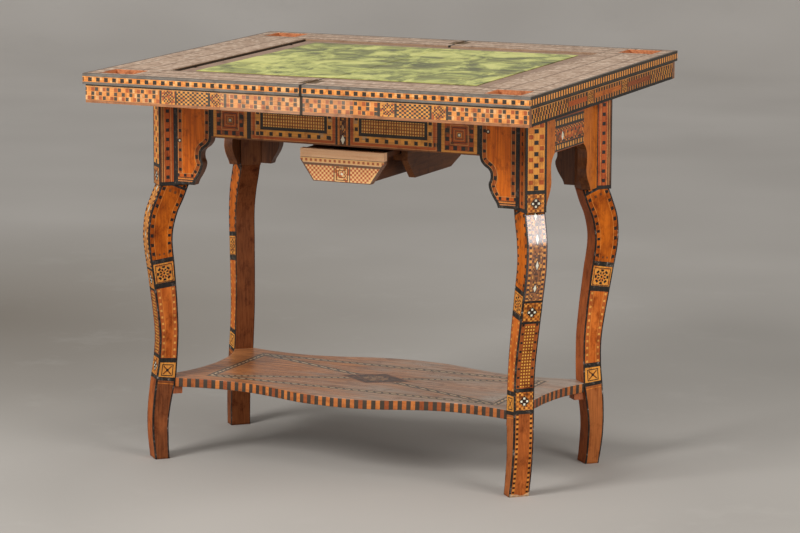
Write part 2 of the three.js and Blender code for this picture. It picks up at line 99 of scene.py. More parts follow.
camera_data = bpy.data.cameras.new("camera")
camera_data.lens, camera_data.sensor_width = LENS, SENSOR
camera_axes = view_axes(AZIMUTH, ELEVATION, ROLL)
bpy.context.scene.camera = stand("camera", camera_data, camera_axes, CAMERA_PLACE)
print("camera at", CAMERA_PLACE)

# %% [markdown]
# ## The studio
# The table stands on a pale grey paper sweep: a round floor that curves
# up at its edge, so that no corner line shows from any side. The floor
# is one polygon, and rings of an arc stand round it. Area lamps are
# used, because a large lamp gives the soft shadow edges of a studio.

# %% Helpers for colours and for grids of points
def colour(red, green, blue):
    """A screen colour (0 to 255) as the light values shaders use:
    below 0.04 divided by 12.92, above it ((c + 0.055) / 1.055)^2.4."""
    c = np.array([red, green, blue]) / 255
    linear = np.where(c < 0.04045, c / 12.92, ((c + 0.055) / 1.055) ** 2.4)
    return (*linear.tolist(), 1.0)


def grid_faces(rows, columns, closed=False):
    """Quads between neighbours (i, j), (i, j+1), (i+1, j+1), (i+1, j)
    of a grid whose points are numbered row by row."""
    j_count = columns if closed else columns - 1
    i, j = np.meshgrid(np.arange(rows - 1), np.arange(j_count), indexing="ij")
    k = (j + 1) % columns
    corners = [i * columns + j, i * columns + k]
    corners += [(i + 1) * columns + k, (i + 1) * columns + j]
    return np.stack([c.ravel() for c in corners], 1)


def mesh_object(name, points, faces, smooth=True):
    """Points (n x 3, metres) and faces as one object at the origin."""
    mesh = bpy.data.meshes.new(name)
    mesh.from_pydata(np.asarray(points).tolist(), [], [list(f) for f in faces])
    mesh.polygons.foreach_set("use_smooth", [smooth] * len(mesh.polygons))
    piece = bpy.data.objects.new(name, mesh)
    bpy.context.scene.collection.objects.link(piece)
    return piece


print("middle grey is the light value", round(colour(128, 128, 128)[0], 3))

# %% Paper sweep
FLAT_TO, BEND, BEND_TO = 6.5, 2.0, 78
BEND_RINGS, STEPS_ROUND = 14, 96
bend = np.radians(np.linspace(0, BEND_TO, BEND_RINGS))[:, None]
about = np.linspace(2 * np.pi, 0, STEPS_ROUND, endpoint=False)
reach = FLAT_TO + BEND * np.sin(bend)
height = BEND - BEND * np.cos(bend) + 0 * about
sweep_points = np.stack([reach * np.cos(about), reach * np.sin(about), height], -1)
sweep_faces = [np.arange(STEPS_ROUND)[::-1]]
sweep_faces += [*grid_faces(BEND_RINGS, STEPS_ROUND, closed=True)]
sweep = mesh_object("paper_sweep", sweep_points.reshape(-1, 3), sweep_faces)
print("sweep:", len(sweep.data.polygons), "faces")

# %% Lamps and the world
AIM = np.array([0.0, 0.0, 0.45])
LAMPS = {  # azimuth, elevation, distance, size, power
    "right_lamp": (65, 18, 4.2, 1.7, 80),
    "left_lamp": (-26, 30, 4.5, 1.4, 144),
    "top_lamp": (20, 78, 3.6, 3.0, 50),
}
ROOM_TONE, ROOM_STRENGTH = colour(200, 198, 195), 0.62


def soft_lamp(name, azimuth, elevation, distance, size, power):
    """A square lamp on a sphere round the table, facing its middle."""
    axes = view_axes(azimuth, elevation)
    data = bpy.data.lights.new(name, "AREA")
    data.shape, data.size, data.energy = "SQUARE", size, power
    stand(name, data, axes, AIM + distance * axes[2])


for lamp_name, numbers in LAMPS.items():
    soft_lamp(lamp_name, *numbers)
world = bpy.data.worlds.new("studio")
bpy.context.scene.world = world
world.use_nodes = True
surround = world.node_tree.nodes["Background"]
surround.inputs["Color"].default_value = ROOM_TONE
surround.inputs["Strength"].default_value = ROOM_STRENGTH
bpy.context.scene.view_settings.view_transform = "Standard"
print("lamps:", list(LAMPS))

# %% [markdown]
# ## The frame's own axes
# The frame stands a little askew under the top, as the photograph
# shows. Its inlay is drawn in the frame's own axes, so one mapping
# undoes that turn: p' = R(-a)(p - c) = R(-a) p - R(-a) c.

# %% The frame's own axes
FRAME_TURN = np.radians(-2.2)
FRAME_CENTRE = np.array([-14.235, -3.912])
CORNER = np.array([383.0, 167.0])


def rotated(points, angle):
    """x' = x cos a - y sin a, y' = x sin a + y cos a; z is kept."""
    x, y, z = np.moveaxis(np.asarray(points, float), -1, 0)
    c, s = np.cos(angle), np.sin(angle)
    return np.stack([x * c - y * s, x * s + y * c, z], -1)


def to_world(points):
    """From the frame's axes in millimetres to the scene in metres."""
    return (rotated(points, FRAME_TURN) + [*FRAME_CENTRE, 0]) * MM


FRAME_SHIFT = tuple(-rotated([*FRAME_CENTRE, 0], -FRAME_TURN))
print("frame turned by", round(float(np.degrees(FRAME_TURN)), 2), "degrees")

# %% [markdown]
# ## A small language for surfaces
# Every finish is worked out by shader nodes. A chain of Math nodes is
# hard to read, so one class wraps a node's output and lets Python's
# operators add the nodes: `abs(x) < 5` becomes two nodes. A second
# class is a material with one method that adds any other node. A value
# knows its finish, so the patterns below needn't be told which it is.

# %% The value class
def pairwise(operation):
    """A method that adds one Math node for a value and another."""

    def method(self, other):
        return self.maths(operation, other)

    return method


class Value:
    """What one node gives at each point of a surface."""

    __add__ = __radd__ = pairwise("ADD")
    __mul__ = __rmul__ = pairwise("MULTIPLY")
    __sub__, __truediv__ = pairwise("SUBTRACT"), pairwise("DIVIDE")
    __mod__ = pairwise("FLOORED_MODULO")
    __lt__, __gt__ = pairwise("LESS_THAN"), pairwise("GREATER_THAN")
    most, least = pairwise("MAXIMUM"), pairwise("MINIMUM")

    def __init__(self, finish, socket):
        self.finish, self.socket = finish, socket

    def maths(self, operation, *others):
        """One Math node, from this value and up to two more."""
        inputs = dict(enumerate((self, *others)))
        return self.finish.node("Math", {"operation": operation}, inputs)

    def __rsub__(self, other):
        """The other way round: number - value."""
        return self.finish.node("Math", {"operation": "SUBTRACT"}, {0: other, 1: self})

    def __abs__(self):
        return self.maths("ABSOLUTE")

    def floor(self):
        return self.maths("FLOOR")

    def near(self, middle, reach):
        """1 where the value is within reach of the middle, else 0."""
        return self.maths("COMPARE", middle, reach)

    def between(self, low, high):
        return self.near((low + high) / 2, (high - low) / 2)

    def parts(self):
        """The three numbers of a vector."""
        split = self.finish.node("SeparateXYZ", {}, {0: self})
        return [Value(self.finish, out) for out in split.socket.node.outputs]

    def ramp(self, stops, low, high, steps=True):
        """Colours along the value: each stop is (where, colour or grey)."""
        span, blend = high - low, "CONSTANT" if steps else "LINEAR"
        share = self.maths("MULTIPLY_ADD", 1 / span, -low / span)
        stops = [((where - low) / span, tone) for where, tone in stops]
        return self.finish.node("ValToRGB", {"stops": (blend, stops)}, {0: share})

    def spans(self, *spans):
        """1 where the value falls in any of several (from, to) spans."""
        low, high = spans[0][0] - 1, spans[-1][1] + 1
        stops = [(low, 0)] + [stop for a, b in spans for stop in ((a, 1), (b, 0))]
        return self.ramp(stops, low, high)

    def noise(self, scales, detail=3.0, rough=0.55):
        """Cloudy noise at a place, stretched by a scale for each axis,
        or by one number for all three."""
        scales = scales if isinstance(scales, tuple) else (scales,) * 3
        place = self.finish.node("Mapping", {}, {0: self, 3: scales})
        values = {"Vector": place, "Scale": 1.0, "Detail": detail, "Roughness": rough}
        return self.finish.node("TexNoise", {}, values)

    def lot(self, v=0.0, w=0.0):
        """A number from 0 to 1 drawn by lot for each cell: this value
        and the two others are the whole numbers that count the cells."""
        cell = self.finish.node("CombineXYZ", {}, {0: self, 1: v, 2: w})
        settings = {"noise_dimensions": "3D"}
        return self.finish.node("TexWhiteNoise", settings, {"Vector": cell})


print("a value can be asked for", [name for name in vars(Value) if name[0] != "_"])


# %% The finish class
def fill_band(band, blend, stops):
    """Give a colour band its stops, (position, colour or grey), of
    which a new band has two."""
    band.interpolation = blend
    for _ in stops[2:]:
        band.elements.new(1)
    for element, (position, tone) in zip(band.elements, stops):
        element.position = position
        element.color = tone if isinstance(tone, tuple) else (tone, tone, tone, 1)


class Finish:
    """A material whose nodes are added by one method."""

    def __init__(self, name):
        self.material = bpy.data.materials.new(name)
        self.material.use_nodes = True
        self.tree = self.material.node_tree
        self.shader = self.tree.nodes["Principled BSDF"]

    def node(self, kind, settings=None, values=None, output=0):
        """Add a node of a type, set it up, then fill or link its sockets."""
        node = self.tree.nodes.new("ShaderNode" + kind)
        for key, setting in (settings or {}).items():
            if key == "stops":
                fill_band(node.color_ramp, *setting)
            else:
                setattr(node, key, setting)
        for key, value in (values or {}).items():
            self.fill(node.inputs[key], value)
        return Value(self, node.outputs[output])

    def fill(self, socket, value):
        """Link a value that varies, or set a plain number or colour."""
        if isinstance(value, Value):
            self.tree.links.new(value.socket, socket)
        else:
            socket.default_value = value

    def shade(self, **inputs):
        """Fill the shader's own sockets: Base_Color is "Base Color"."""
        for name, value in inputs.items():
            self.fill(self.shader.inputs[name.replace("_", " ")], value)

    def place(self, turned=False):
        """Object coordinates in millimetres, in the frame's own axes
        when turned: the vector, and then its three numbers."""
        values = {0: self.node("TexCoord", output=3), 3: (1 / MM,) * 3}
        if turned:
            values.update({1: FRAME_SHIFT, 2: (0, 0, -FRAME_TURN)})
        here = self.node("Mapping", {}, values)
        return [here, *here.parts()]

    def pair(self, name):
        """The two numbers of a UV map."""
        return self.node("UVMap", {"uv_map": name}).parts()[:2]


print("a finish can be asked for", [name for name in vars(Finish) if name[0] != "_"])


# %% Two helpers, and the paper's finish
def lay(tone, *layers):
    """Colours laid one over another. A layer is (mask, colour), or
    (mask, colour, way of blending), and covers where its mask is 1."""
    for mask, over, *how in layers:
        settings = {"data_type": "RGBA", "blend_type": how[0] if how else "MIX"}
        tone = mask.finish.node("Mix", settings, {0: mask, 6: tone, 7: over}, 2)
    return tone


def distance(u, v):
    """How far (u, v) is from the middle: the root of u u + v v."""
    return (u * u + v * v).maths("SQRT")


paper = Finish("grey_paper")
here, x, y, _ = paper.place()
scuff, cloud = here.noise(0.004, 6.0, 0.7), here.noise(0.0009, 2.0)
# painted shadow: a darker patch on the floor behind the table's left end
painted_shadow_patch = (1 - distance((x + 1500) / 1300, (y - 900) / 1500)).most(0)
tone = lay(
    colour(178, 173, 166),
    # painted light: the paper grows lighter away from the table, making up for lamp light
    # that falls off there
    ((distance(x, y) - 1200) / 5000, colour(236, 231, 225)),
    # painted pool of light: a lighter patch on the floor under and just in front of the
    # table
    (1 - distance((x - 100) / 600, (y + 250) / 600), colour(208, 202, 194)),
    (cloud * 0.5, colour(150, 145, 140), "MULTIPLY"),
    # the painted shadow patch darkens the floor here
    (painted_shadow_patch, colour(196, 190, 182), "MULTIPLY"),
    ((scuff - 0.55) * 0.9, colour(192, 188, 182)),
)
paper.shade(Base_Color=tone, Roughness=0.75)
sweep.data.materials.append(paper.material)
print("paper nodes:", len(paper.tree.nodes))

# %% [markdown]
# ## The woods and the pearl
# The table is veneered with slips of fruit wood, dyed wood, ebony and
# mother of pearl. Each slip was cut from another strip, so its tone
# differs from its neighbour's. The slips could be thousands of small
# solids, but they lie flush, so a pattern in the material does the
# same with no weight. The shared colours are kept in one table.

# %% Colours of the slips
ORANGE, AMBER, RED = colour(214, 128, 52), colour(226, 152, 66), colour(176, 84, 34)
BLACK, PEARL, TAN = colour(46, 42, 38), colour(232, 228, 205), colour(206, 160, 108)
BROWN, DARK = colour(122, 72, 38), colour(72, 40, 22)
FIELD, LINE = colour(190, 92, 34), colour(214, 148, 82)
# the last colour here is no slip: it is painted shade for the gap between the leaves at the
# seam
BRIGHT_PEARL, SEAM_SHADOW = colour(252, 250, 228), colour(22, 18, 16)
print("slip tones:", len([ORANGE, AMBER, RED, TAN, BROWN, DARK, FIELD, LINE]))


# %% Patterns that many faces share
def slips(u, v, pitch, tones=(ORANGE, AMBER, RED), seed=0.0):
    """Cells of one pitch whose tone is drawn by lot."""
    drawn = (u / pitch).floor().lot((v / pitch).floor(), seed)
    return drawn.ramp(list(zip((0, 0.45, 0.8), tones)), 0, 1)


def dentils(under, run, across, pitch, size, at, tone=BLACK):
    """A row of squares: (run mod pitch) within size of the middle."""
    mask = (run % pitch).near(pitch / 2, size / 2) * across.near(at, size / 2)
    return lay(under, (mask, tone))


def star(u, v):
    """An eight-pointed star's size: the least of the square's size
    max(|u|, |v|) and the turned square's (|u| + |v|) times 0.707."""
    a, b = abs(u), abs(v)
    return a.most(b).least((a + b) * 0.7071)


def rosette(u, v, half):
    """Two rings of eight dark petals. The angle is counted in eighths
    of a turn; a petal is where both its fraction and the distance from
    the middle are close to those of the ring."""
    far, eighth = distance(u, v), u.maths("ARCTAN2", v) * (4 / np.pi)
    inner = far.near(half * 0.38, half * 0.13) * (eighth % 1).near(0.5, 0.27)
    outer = far.near(half * 0.7, half * 0.12) * ((eighth + 0.5) % 1).near(0.5, 0.3)
    return lay(
        slips(u + 60, v + 60, half * 0.22, (AMBER, ORANGE, AMBER)),
        (inner.most(outer).most(far < half * 0.12), BLACK),
        (abs(u).most(abs(v)).near(half * 0.93, 0.7), BLACK),
    )


def pearl_chequer(u, v, half):
    """Small dyed squares round a black diamond, |u| + |v| < 2 d, with
    four pearl slips in it, d away from its middle on each side."""
    side, d = half * 0.25, half * 0.32
    odd = ((u / side + 0.5).floor() + (v / side + 0.5).floor()) % 2
    a, b = abs(u), abs(v)
    pearls = (abs(a - d).most(b) < 1.9).most(abs(b - d).most(a) < 1.9)
    return lay(
        slips(u + side / 2, v + side / 2, side, (AMBER, BROWN, ORANGE), 5.0),
        (odd * 0.75, colour(126, 62, 26)),
        (a + b < d * 2, colour(58, 40, 30)),
        (pearls, PEARL),
    )


def lattice(u, v, wide, high, light=AMBER):
    """A fine chequer: cells dark where the two cell numbers add to odd."""
    odd = ((u / wide).floor() + (v / high).floor()) % 2
    return lay(slips(u, v, wide * 2, (light, light, ORANGE), 3.0), (odd, BLACK))


def worn_black(here):
    """Ebony slips rubbed grey in patches."""
    rub = here.noise(0.09, 4.0, 0.7)
    greys = colour(112, 102, 92), colour(176, 168, 158)
    return lay(BLACK, ((rub - 0.52) * 5, greys[0]), ((rub - 0.64) * 12, greys[1]))


PATTERNS = (slips, dentils, star, rosette, pearl_chequer, lattice, worn_black)
print("patterns:", [pattern.__name__ for pattern in PATTERNS])


# %% Varnish, and putting a finish on solids
def polish(tone, grain, gloss=0.36, wear=0.02, shine=0.3, age=1.0):
    """Old varnish: grain and stains darken the tone, clouds of wear
    dull it, and the grain stands a little proud."""
    here, *_ = tone.finish.place()
    cloud, dust = here.noise(0.018, 4.0), here.noise(0.4, 2.0)
    stain = here.noise((0.05, 0.05, 0.035), 5.0, 0.68)
    tone = lay(
        tone,
        ((grain - 0.42) * 1.5, colour(150, 118, 92), "MULTIPLY"),
        ((stain - 0.52) * (4 * age), colour(150, 112, 84), "MULTIPLY"),
        (cloud * (2 * wear), colour(205, 180, 150)),
    )
    relief = {"Strength": 0.35, "Distance": 0.0004, "Height": grain * 0.35}
    tone.finish.shade(
        Base_Color=tone,
        Specular_IOR_Level=shine,
        Roughness=(dust - 0.5) * 0.25 + cloud * 0.16 + (gloss - 0.08),
        Normal=tone.finish.node("Bump", {}, relief),
    )
    return tone.finish.material


def dress(material, *starts):
    """Give a material to the solids whose names start like these; a
    solid keeps its mesh, and only its slots change."""
    names = [name for name in nodes if name.startswith(starts)]
    for name in names:
        piece = bpy.data.objects[name]
        for slot in piece.material_slots:
            slot.material = material
        if not piece.material_slots:
            piece.data.materials.append(material)
    print(material.name, "on", len(names), "pieces")


# %% [markdown]
# ## The aprons
# The front and back aprons carry, from the middle outwards, a pearl
# diamond strip, a long panel of basket work and a square of rings.
# Each half could be laid out by itself, but both are the same, so the
# pattern reads |x| and is drawn once. Only the outer face is inlaid: a
# test on y keeps the rest plain wood.

# %% Front and back aprons: the long panels
PANEL, PITCH, APRON_LIP = 102, 19.8, 631.6
here, x, y, z = Finish("long_apron_inlay").place(turned=True)
run, from_panel = abs(x), abs(abs(x) - PANEL)
grain = here.noise((0.02, 0.5, 0.6))
strips = slips(run - 20, z - 633, PITCH / 2, (colour(240, 166, 70), AMBER, TAN))
tone = lay(
    colour(206, 100, 36),
    (grain, RED),
    (run.near(PANEL, 80) * (z > 638.4), strips),
    ((from_panel - 80).most(638.8 - z).near(0, 0.7), LINE),
)
tone = dentils(tone, run - 20, z, PITCH, 7.2, 643.4)
column = ((z - 633) % PITCH).near(PITCH / 2, 3.5) * (z > 633)
thread = (run % 5.2).near(2.6, 1.5) * (z % 6.0).near(3, 1.9)
basket = lay(
    BROWN,
    ((run % 5.2).near(2.6, 1.9), colour(176, 92, 34)),
    (thread, colour(244, 188, 92)),
)
tone = lay(
    tone,
    (column * run.spans((24, 31), (173, 180)), BLACK),
    (run.between(32.5, 171.5) * z.between(650.5, 687), BLACK),
    (run.between(38.5, 165.5) * z.between(656.5, 681), basket),
    ((from_panel - 87).most(632.6 - z).near(0, 0.7), LINE),
)
print("long panels: middles", PANEL, "mm to either side")

# %% Front and back aprons: the squares and the middle strip
SQUARE, CENTRE_HIGH = 235, 664
RINGS = [
    (0, PEARL), (2.2, BLACK), (3.5, AMBER), (5, RED), (7.5, DARK),
    (8.5, LINE), (9.3, FIELD), (12.5, DARK),
]
DIAMONDS = [(641.5, 12, DARK), (641.5, 9, BRIGHT_PEARL), (664, 9, DARK), (664, 6, TAN)]
ring = abs(run - SQUARE).most(abs(z - CENTRE_HIGH))
blocks = ((run - SQUARE) % 16).near(8, 3.9) * ((z - CENTRE_HIGH) % 16).near(8, 3.9)
square = lay(
    slips(run, z, 7, (RED, BROWN, FIELD), 7.0),
    (ring.between(18, 29) * blocks, BLACK),
    (ring.between(17, 18.5), LINE),
    (ring < 14, ring.ramp(RINGS, 0, 14)),
    (ring > 29, AMBER),
)
middle = slips(x, z, 2.6, (BROWN, DARK, AMBER))
for high, size, slip in DIAMONDS:
    middle = lay(middle, (abs(z - high) + run * 2.2 < size, slip))
middle = lay(middle, (run.near(8.2, 2.4), ORANGE), (run.near(5.8, 0.6), BLACK))
bars = run.spans((11, 15), (190.5, 198.5), (270, 280)) * (z > APRON_LIP)
tone = lay(
    tone,
    (run.between(199, 271), square),
    (run < 11, middle),
    (z < APRON_LIP, lay(colour(134, 84, 44), (grain, BROWN))),
    (bars, BLACK),
    (abs(y) < CORNER[1] - 0.2, BROWN),
)
dress(polish(tone, grain), "apron_front", "apron_back")

# %% End aprons
here, x, y, z = Finish("end_apron_inlay").place(turned=True)
grain = here.noise((0.5, 0.02, 0.6))
teeth = (y % 12.8).near(6.4, 3.5) * z.spans((633, 641), (677, 685.5))
tone = lay(
    lay(RED, (grain, BROWN)),
    (z.spans((630, 644), (672, 690)), BLACK),
    (teeth, AMBER),
    (z.spans((645, 649), (666, 671)), lattice(y, z, 6.4, 3.0, ORANGE)),
    (abs(z - 657.5) < 8, slips(y, z, 6, (RED, BROWN, ORANGE))),
    ((y % 19.2).near(9.6, 3.4) * abs(z - 654).near(7, 2), BLACK),
    (abs(z - 656) + abs(y + 34) * 1.6 < 9, PEARL),
    (abs(x) < CORNER[0] - 0.2, BROWN),
)
dress(polish(tone, grain), "apron_left", "apron_right")

# %% [markdown]
# ## The corner posts
# The posts are square blocks set on the diagonal, with a chequer of
# dark slips on the outer face and a pearl square at its foot. Each
# could have a material of its own. Folding all four corners onto one
# is shorter, and gives two numbers: how far out along the diagonal,
# and how far across it. The outer face is where the first is largest.

# %% Corner posts
FACE_OUT, COLUMN, ROW, POST_FOOT = 9.3, 10.4, 10.3, 573
here, x, y, z = Finish("post_inlay").place(turned=True)
a, b = abs(x) - CORNER[0], abs(y) - CORNER[1]
out, across = (a + b) * 0.7071, (b - a) * 0.7071
grain = here.noise((0.5, 0.5, 0.02))
up = z - POST_FOOT
even = 1 - ((across / COLUMN + 0.5).floor() + (up / ROW).floor()) % 2
block = ((across + COLUMN / 2) % COLUMN).near(COLUMN / 2, 4.2)
block = even * block * (up % ROW).near(ROW / 2, 3.9)
edges = (abs(across) > 16.2).most(z.spans((530, 534), (567, 574)))
face = lay(
    slips(across + COLUMN / 2, up, 10.35, (AMBER, AMBER, ORANGE)),
    (block * (abs(across) > COLUMN / 2), RED),
    (block * (abs(across) < COLUMN / 2), BLACK),
    (z < 570, pearl_chequer(across, z - 550, 17.5)),
    (edges, BLACK),
)
side = dentils(lay(FIELD, (grain, RED)), z, out, 18, 6.6, -7)
side = lay(
    side,
    (out > 0.5, BROWN),
    (out.spans((-14, -12.8), (-0.6, 0.6), (3.2, 4.6)), LINE),
    ((out > 7.4).most(out < -18.4).most(z < 540), BLACK),
)
inner_face = (out < -21) * (abs(across) < 20.3)
tone = lay(face, (out < FACE_OUT, side), (inner_face, BROWN))
dress(polish(tone, grain, 0.4, wear=0, shine=0.2), "post_")

# %% [markdown]
# ## The legs
# Each leg is a board sawn to an S and set on the diagonal. Its side
# faces have borders that follow the two sawn edges, which a flat
# pattern can't do. So the legs are made again as fine surfaces: the
# rounded section is carried up two curves, and every point keeps its
# distance from each edge and its run along the leg in UV maps.

# %% Curves of the leg
LEG_HEIGHT, LEG_DEPTH, LEG_MIDDLE, LEG_HALF = 532.7, 55.0, 6.5, 20.0
FRAME_LEAN, FRONT_RIGHT_TOE = 16.0, 26.0
OUTER_SHARES = [
    (0, 0.036), (0.08, 0.135), (0.154, 0.164), (0.225, 0.127), (0.296, 0.055),
    (0.356, -0.018), (0.422, -0.055), (0.478, -0.036), (0.546, 0.045),
    (0.614, 0.145), (0.689, 0.255), (0.745, 0.345), (0.801, 0.418),
    (0.852, 0.418), (0.902, 0.355), (0.949, 0.2), (1, 0),
]
INNER_SHARES = [
    (0, -0.49), (0.038, -0.455), (0.083, -0.436), (0.133, -0.427),
    (0.184, -0.473), (0.235, -0.555), (0.291, -0.655), (0.334, -0.69),
    (0.403, -0.718), (0.475, -0.727), (0.57, -0.673), (0.634, -0.618),
    (0.713, -0.545), (0.758, -0.49), (0.801, -0.455), (0.846, -0.482),
    (0.902, -0.618), (0.949, -0.818), (1, -1),
]


def curve_through(points, at):
    """Catmull-Rom curve: between p1 and p2 the tangents are half of
    p2 - p0 and half of p3 - p1; then read at any position."""
    p = np.array(points, float)
    p = np.concatenate([p[:1], p, p[-1:]])
    t = np.linspace(0, 1, 13)[:, None]
    p0, p1, p2, p3 = (p[k : len(p) - 3 + k, None] for k in range(4))
    v0, v1 = (p2 - p0) / 2, (p3 - p1) / 2
    line = (2 * p1 - 2 * p2 + v0 + v1) * t**3
    line = line + (3 * p2 - 3 * p1 - 2 * v0 - v1) * t**2 + v0 * t + p1
    line = line.reshape(-1, 2)
    return np.interp(at, line[:, 0], line[:, 1])


knee = curve_through(OUTER_SHARES, np.linspace(0, 1, 101))
print("the knee stands out", round(float(knee.max() * LEG_DEPTH), 1), "mm")


# %% Helpers for surfaces made of rings
def store_pairs(piece, name, pairs):
    """Point pairs (n x 2) copied to the face corners as a UV map."""
    corners = np.zeros(len(piece.data.loops), dtype=np.int32)
    piece.data.loops.foreach_get("vertex_index", corners)
    layer = piece.data.uv_layers.new(name=name)
    layer.uv.foreach_set("vector", np.asarray(pairs, np.float32)[corners].ravel())


def ring_piece(name, rings, flip=False, smooth=True):
    """Rings of points (rows x columns x 3) joined into a closed body:
    quads between rings, and one face at each end."""
    rows, columns = rings.shape[:2]
    faces = grid_faces(rows, columns, closed=True)
    ends = [np.arange(columns)[::-1], np.arange(columns) + (rows - 1) * columns]
    faces = [f[::-1] if flip else f for f in [*faces, *ends]]
    return mesh_object(name, rings.reshape(-1, 3), faces, smooth)


def leaning(points):
    """The old frame leans to the left under its posts: x is less by
    the lean times the share of the legs' height still above."""
    lean = FRAME_LEAN * (1 - points[..., 2:] / LEG_HEIGHT)
    return points - lean * np.array([1, 0, 0])


print("half-way up the legs:", leaning(np.array([[0, 0, LEG_HEIGHT / 2]]))[0])

# %% The leg's rounded section
LEG_ROWS, ARRIS = 134, 2.2
ARC = np.radians([0, 0, 30, 60, 90, 90])
NUDGE = np.array([[0, -0.5], [0, 0], [0, 0], [0, 0], [0, 0], [-0.5, 0]])
level = np.linspace(0, LEG_HEIGHT, LEG_ROWS)
outer = LEG_MIDDLE + LEG_DEPTH * curve_through(OUTER_SHARES, level / LEG_HEIGHT)
inner = LEG_MIDDLE + LEG_DEPTH * curve_through(INNER_SHARES, level / LEG_HEIGHT)


def section(low, high, half, radius):
    """A rounded rectangle: at each corner an arc of four points, with
    one more point on the flat either side, which keeps the flats flat
    under smooth shading."""
    parts = []
    for quarter, (edge, sign) in enumerate([(high, 1), (low, 1), (low, -1), (high, -1)]):
        angle = ARC + quarter * np.pi / 2
        c, s = np.cos(quarter * np.pi / 2), np.sin(quarter * np.pi / 2)
        extra = NUDGE @ np.array([[c, s], [-s, c]])
        centre = edge - radius * (1 if quarter in (0, 3) else -1)
        r = centre[:, None] + radius * np.cos(angle) + extra[:, 0]
        t = sign * (half - radius) + radius * np.sin(angle) + extra[:, 1] + 0 * r
        parts.append(np.stack([r, t], -1))
    return np.concatenate(parts, 1)


outline = section(inner, outer, LEG_HALF, ARRIS)
print("leg section:", outline.shape[1], "points,", LEG_ROWS, "rows")

# %% Leg surfaces
CORNER_SIGNS = {
    "front_left": (-1, -1), "front_right": (1, -1),
    "back_right": (1, 1), "back_left": (-1, 1),
}
slope = np.gradient((outer + inner) / 2, level)[:, None]
depth, beside_it = outline[..., 0], outline[..., 1]
tilt = level[:, None] + slope * (depth - (outer + inner)[:, None] / 2)
edges = np.stack([outer[:, None] - depth, depth - inner[:, None]], -1)
edges = edges * np.cos(np.arctan(slope))[..., None]
legs = {}
for place_name, (sx, sy) in CORNER_SIGNS.items():
    along = np.array([sx, sy]) * np.sqrt(0.5)
    beside = np.array([-along[1], along[0]])
    toe = FRONT_RIGHT_TOE if place_name == "front_right" else 0
    reach = outline[..., :1] - toe * (1 - level / LEG_HEIGHT)[:, None, None]
    flat = CORNER * (sx, sy) + reach * along + outline[..., 1:] * beside
    high = np.repeat(level[:, None, None], outline.shape[1], 1)
    rings = np.concatenate([flat, high], -1)
    leg = ring_piece("s_leg_" + place_name, to_world(leaning(rings)))
    store_pairs(leg, "edges", edges.reshape(-1, 2))
    store_pairs(leg, "run", np.stack([beside_it, tilt], -1).reshape(-1, 2))
    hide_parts("leg_" + place_name)
    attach(leg, body_of_node["leg_" + place_name])
    legs[place_name] = leg
print("legs:", [len(leg.data.polygons) for leg in legs.values()])

# %% [markdown]
# The outer faces carry a pearl leaf panel at the top, a chequered
# square with four pearls, a lattice of beads, a second square and plain
# wood at the foot. The side faces have toothed borders round red
# panels. One material does both: whether a point is on a side face
# follows from how far across the board it is.

# %% Leg inlay: the side faces
leg_inlay = Finish("leg_inlay")
here, x, y, z = leg_inlay.place(turned=True)
from_outer, from_inner = leg_inlay.pair("edges")
across, run = leg_inlay.pair("run")
grain = here.noise((0.35, 0.35, 0.02))
cloud = (here.noise((0.035, 0.035, 0.02), 4.0, 0.6) - 0.42) * 3.5
ebony = worn_black(here)
nearest, middle = from_outer.least(from_inner), (from_outer - from_inner) / 2
side = lay(colour(206, 106, 22), (cloud, colour(146, 66, 14)))
side = dentils(side, middle, run, 9, 3.6, 401, BROWN)
side = dentils(side, middle, run, 11, 5, 521, BROWN)
side = dentils(side, run, nearest, 16.5, 5.8, 7.2)
lower = lay(
    colour(214, 116, 44),
    (cloud, colour(172, 78, 24)),
    (nearest.near(7.4, 3.4), colour(186, 98, 44)),
)
lower = dentils(lower, run, nearest, 13, 4.2, 7.4, colour(228, 160, 78))
off, up = abs(middle), abs(run - 174.5)
cross = lay(
    AMBER,
    (off.most(up) < 8.5, lay(AMBER, (abs(off - up) < 1.8, BROWN))),
    (off.most(up).near(10.5, 0.9), BLACK),
    (off + up < 3.2, BLACK),
)
foot = lay(
    colour(152, 86, 46),
    (cloud * 0.6 + grain * 0.5, colour(84, 46, 26)),
    ((x > 0) * 0.45, colour(206, 122, 62)),
    (run.near(148.5, 0.7), ORANGE),
)
bands = run.spans((153, 160), (189, 198), (336, 345), (383, 392), (530.5, 534))
side = lay(
    side,
    (run < 340, lower),
    (nearest.near(11.4, 0.5), colour(222, 136, 58)),
    (run.between(340, 388), rosette(middle, run - 364, 17.5)),
    (run.between(156, 194), cross),
    (run < 153, foot),
    (bands.most(nearest < 3.4), ebony),
    ((x < 0) * (y < 0), colour(234, 232, 238), "MULTIPLY"),
)
print("side faces:", len(leg_inlay.tree.nodes), "nodes")

# %% Leg inlay: the outer faces
LEAF_TONES = (colour(150, 90, 42), colour(88, 50, 26), colour(212, 146, 66))
LINES = [(155, 162), (197, 204), (330, 335), (371, 375), (528, 534)]
off = abs(across)
dashes = lay(
    AMBER,
    (run % 8.6 < 4.3, colour(64, 36, 22)),
    (run < 333, lay(colour(158, 84, 40), (run % 17.2 < 4.3, BLACK))),
    (run < 155, lay(colour(216, 140, 62), (run % 9 < 4.2, DARK))),
)
bare = (x < 0) * (run < 155)
gold = ((across + 10.4) % 5.2).near(2.6, 1.3) * (run % 6.2).near(3.1, 1.5)
beads = lay(colour(138, 74, 34), (gold, colour(240, 178, 78)))
spot = abs((run - 380) % 39 - 19.5)
leaf = lay(
    slips(across, run, 2.9, LEAF_TONES),
    ((x < 0) * 0.5, colour(232, 160, 88)),
    (spot + off * 2.2 < 9.5, DARK),
    (spot + off * 2.4 < 7, PEARL),
)
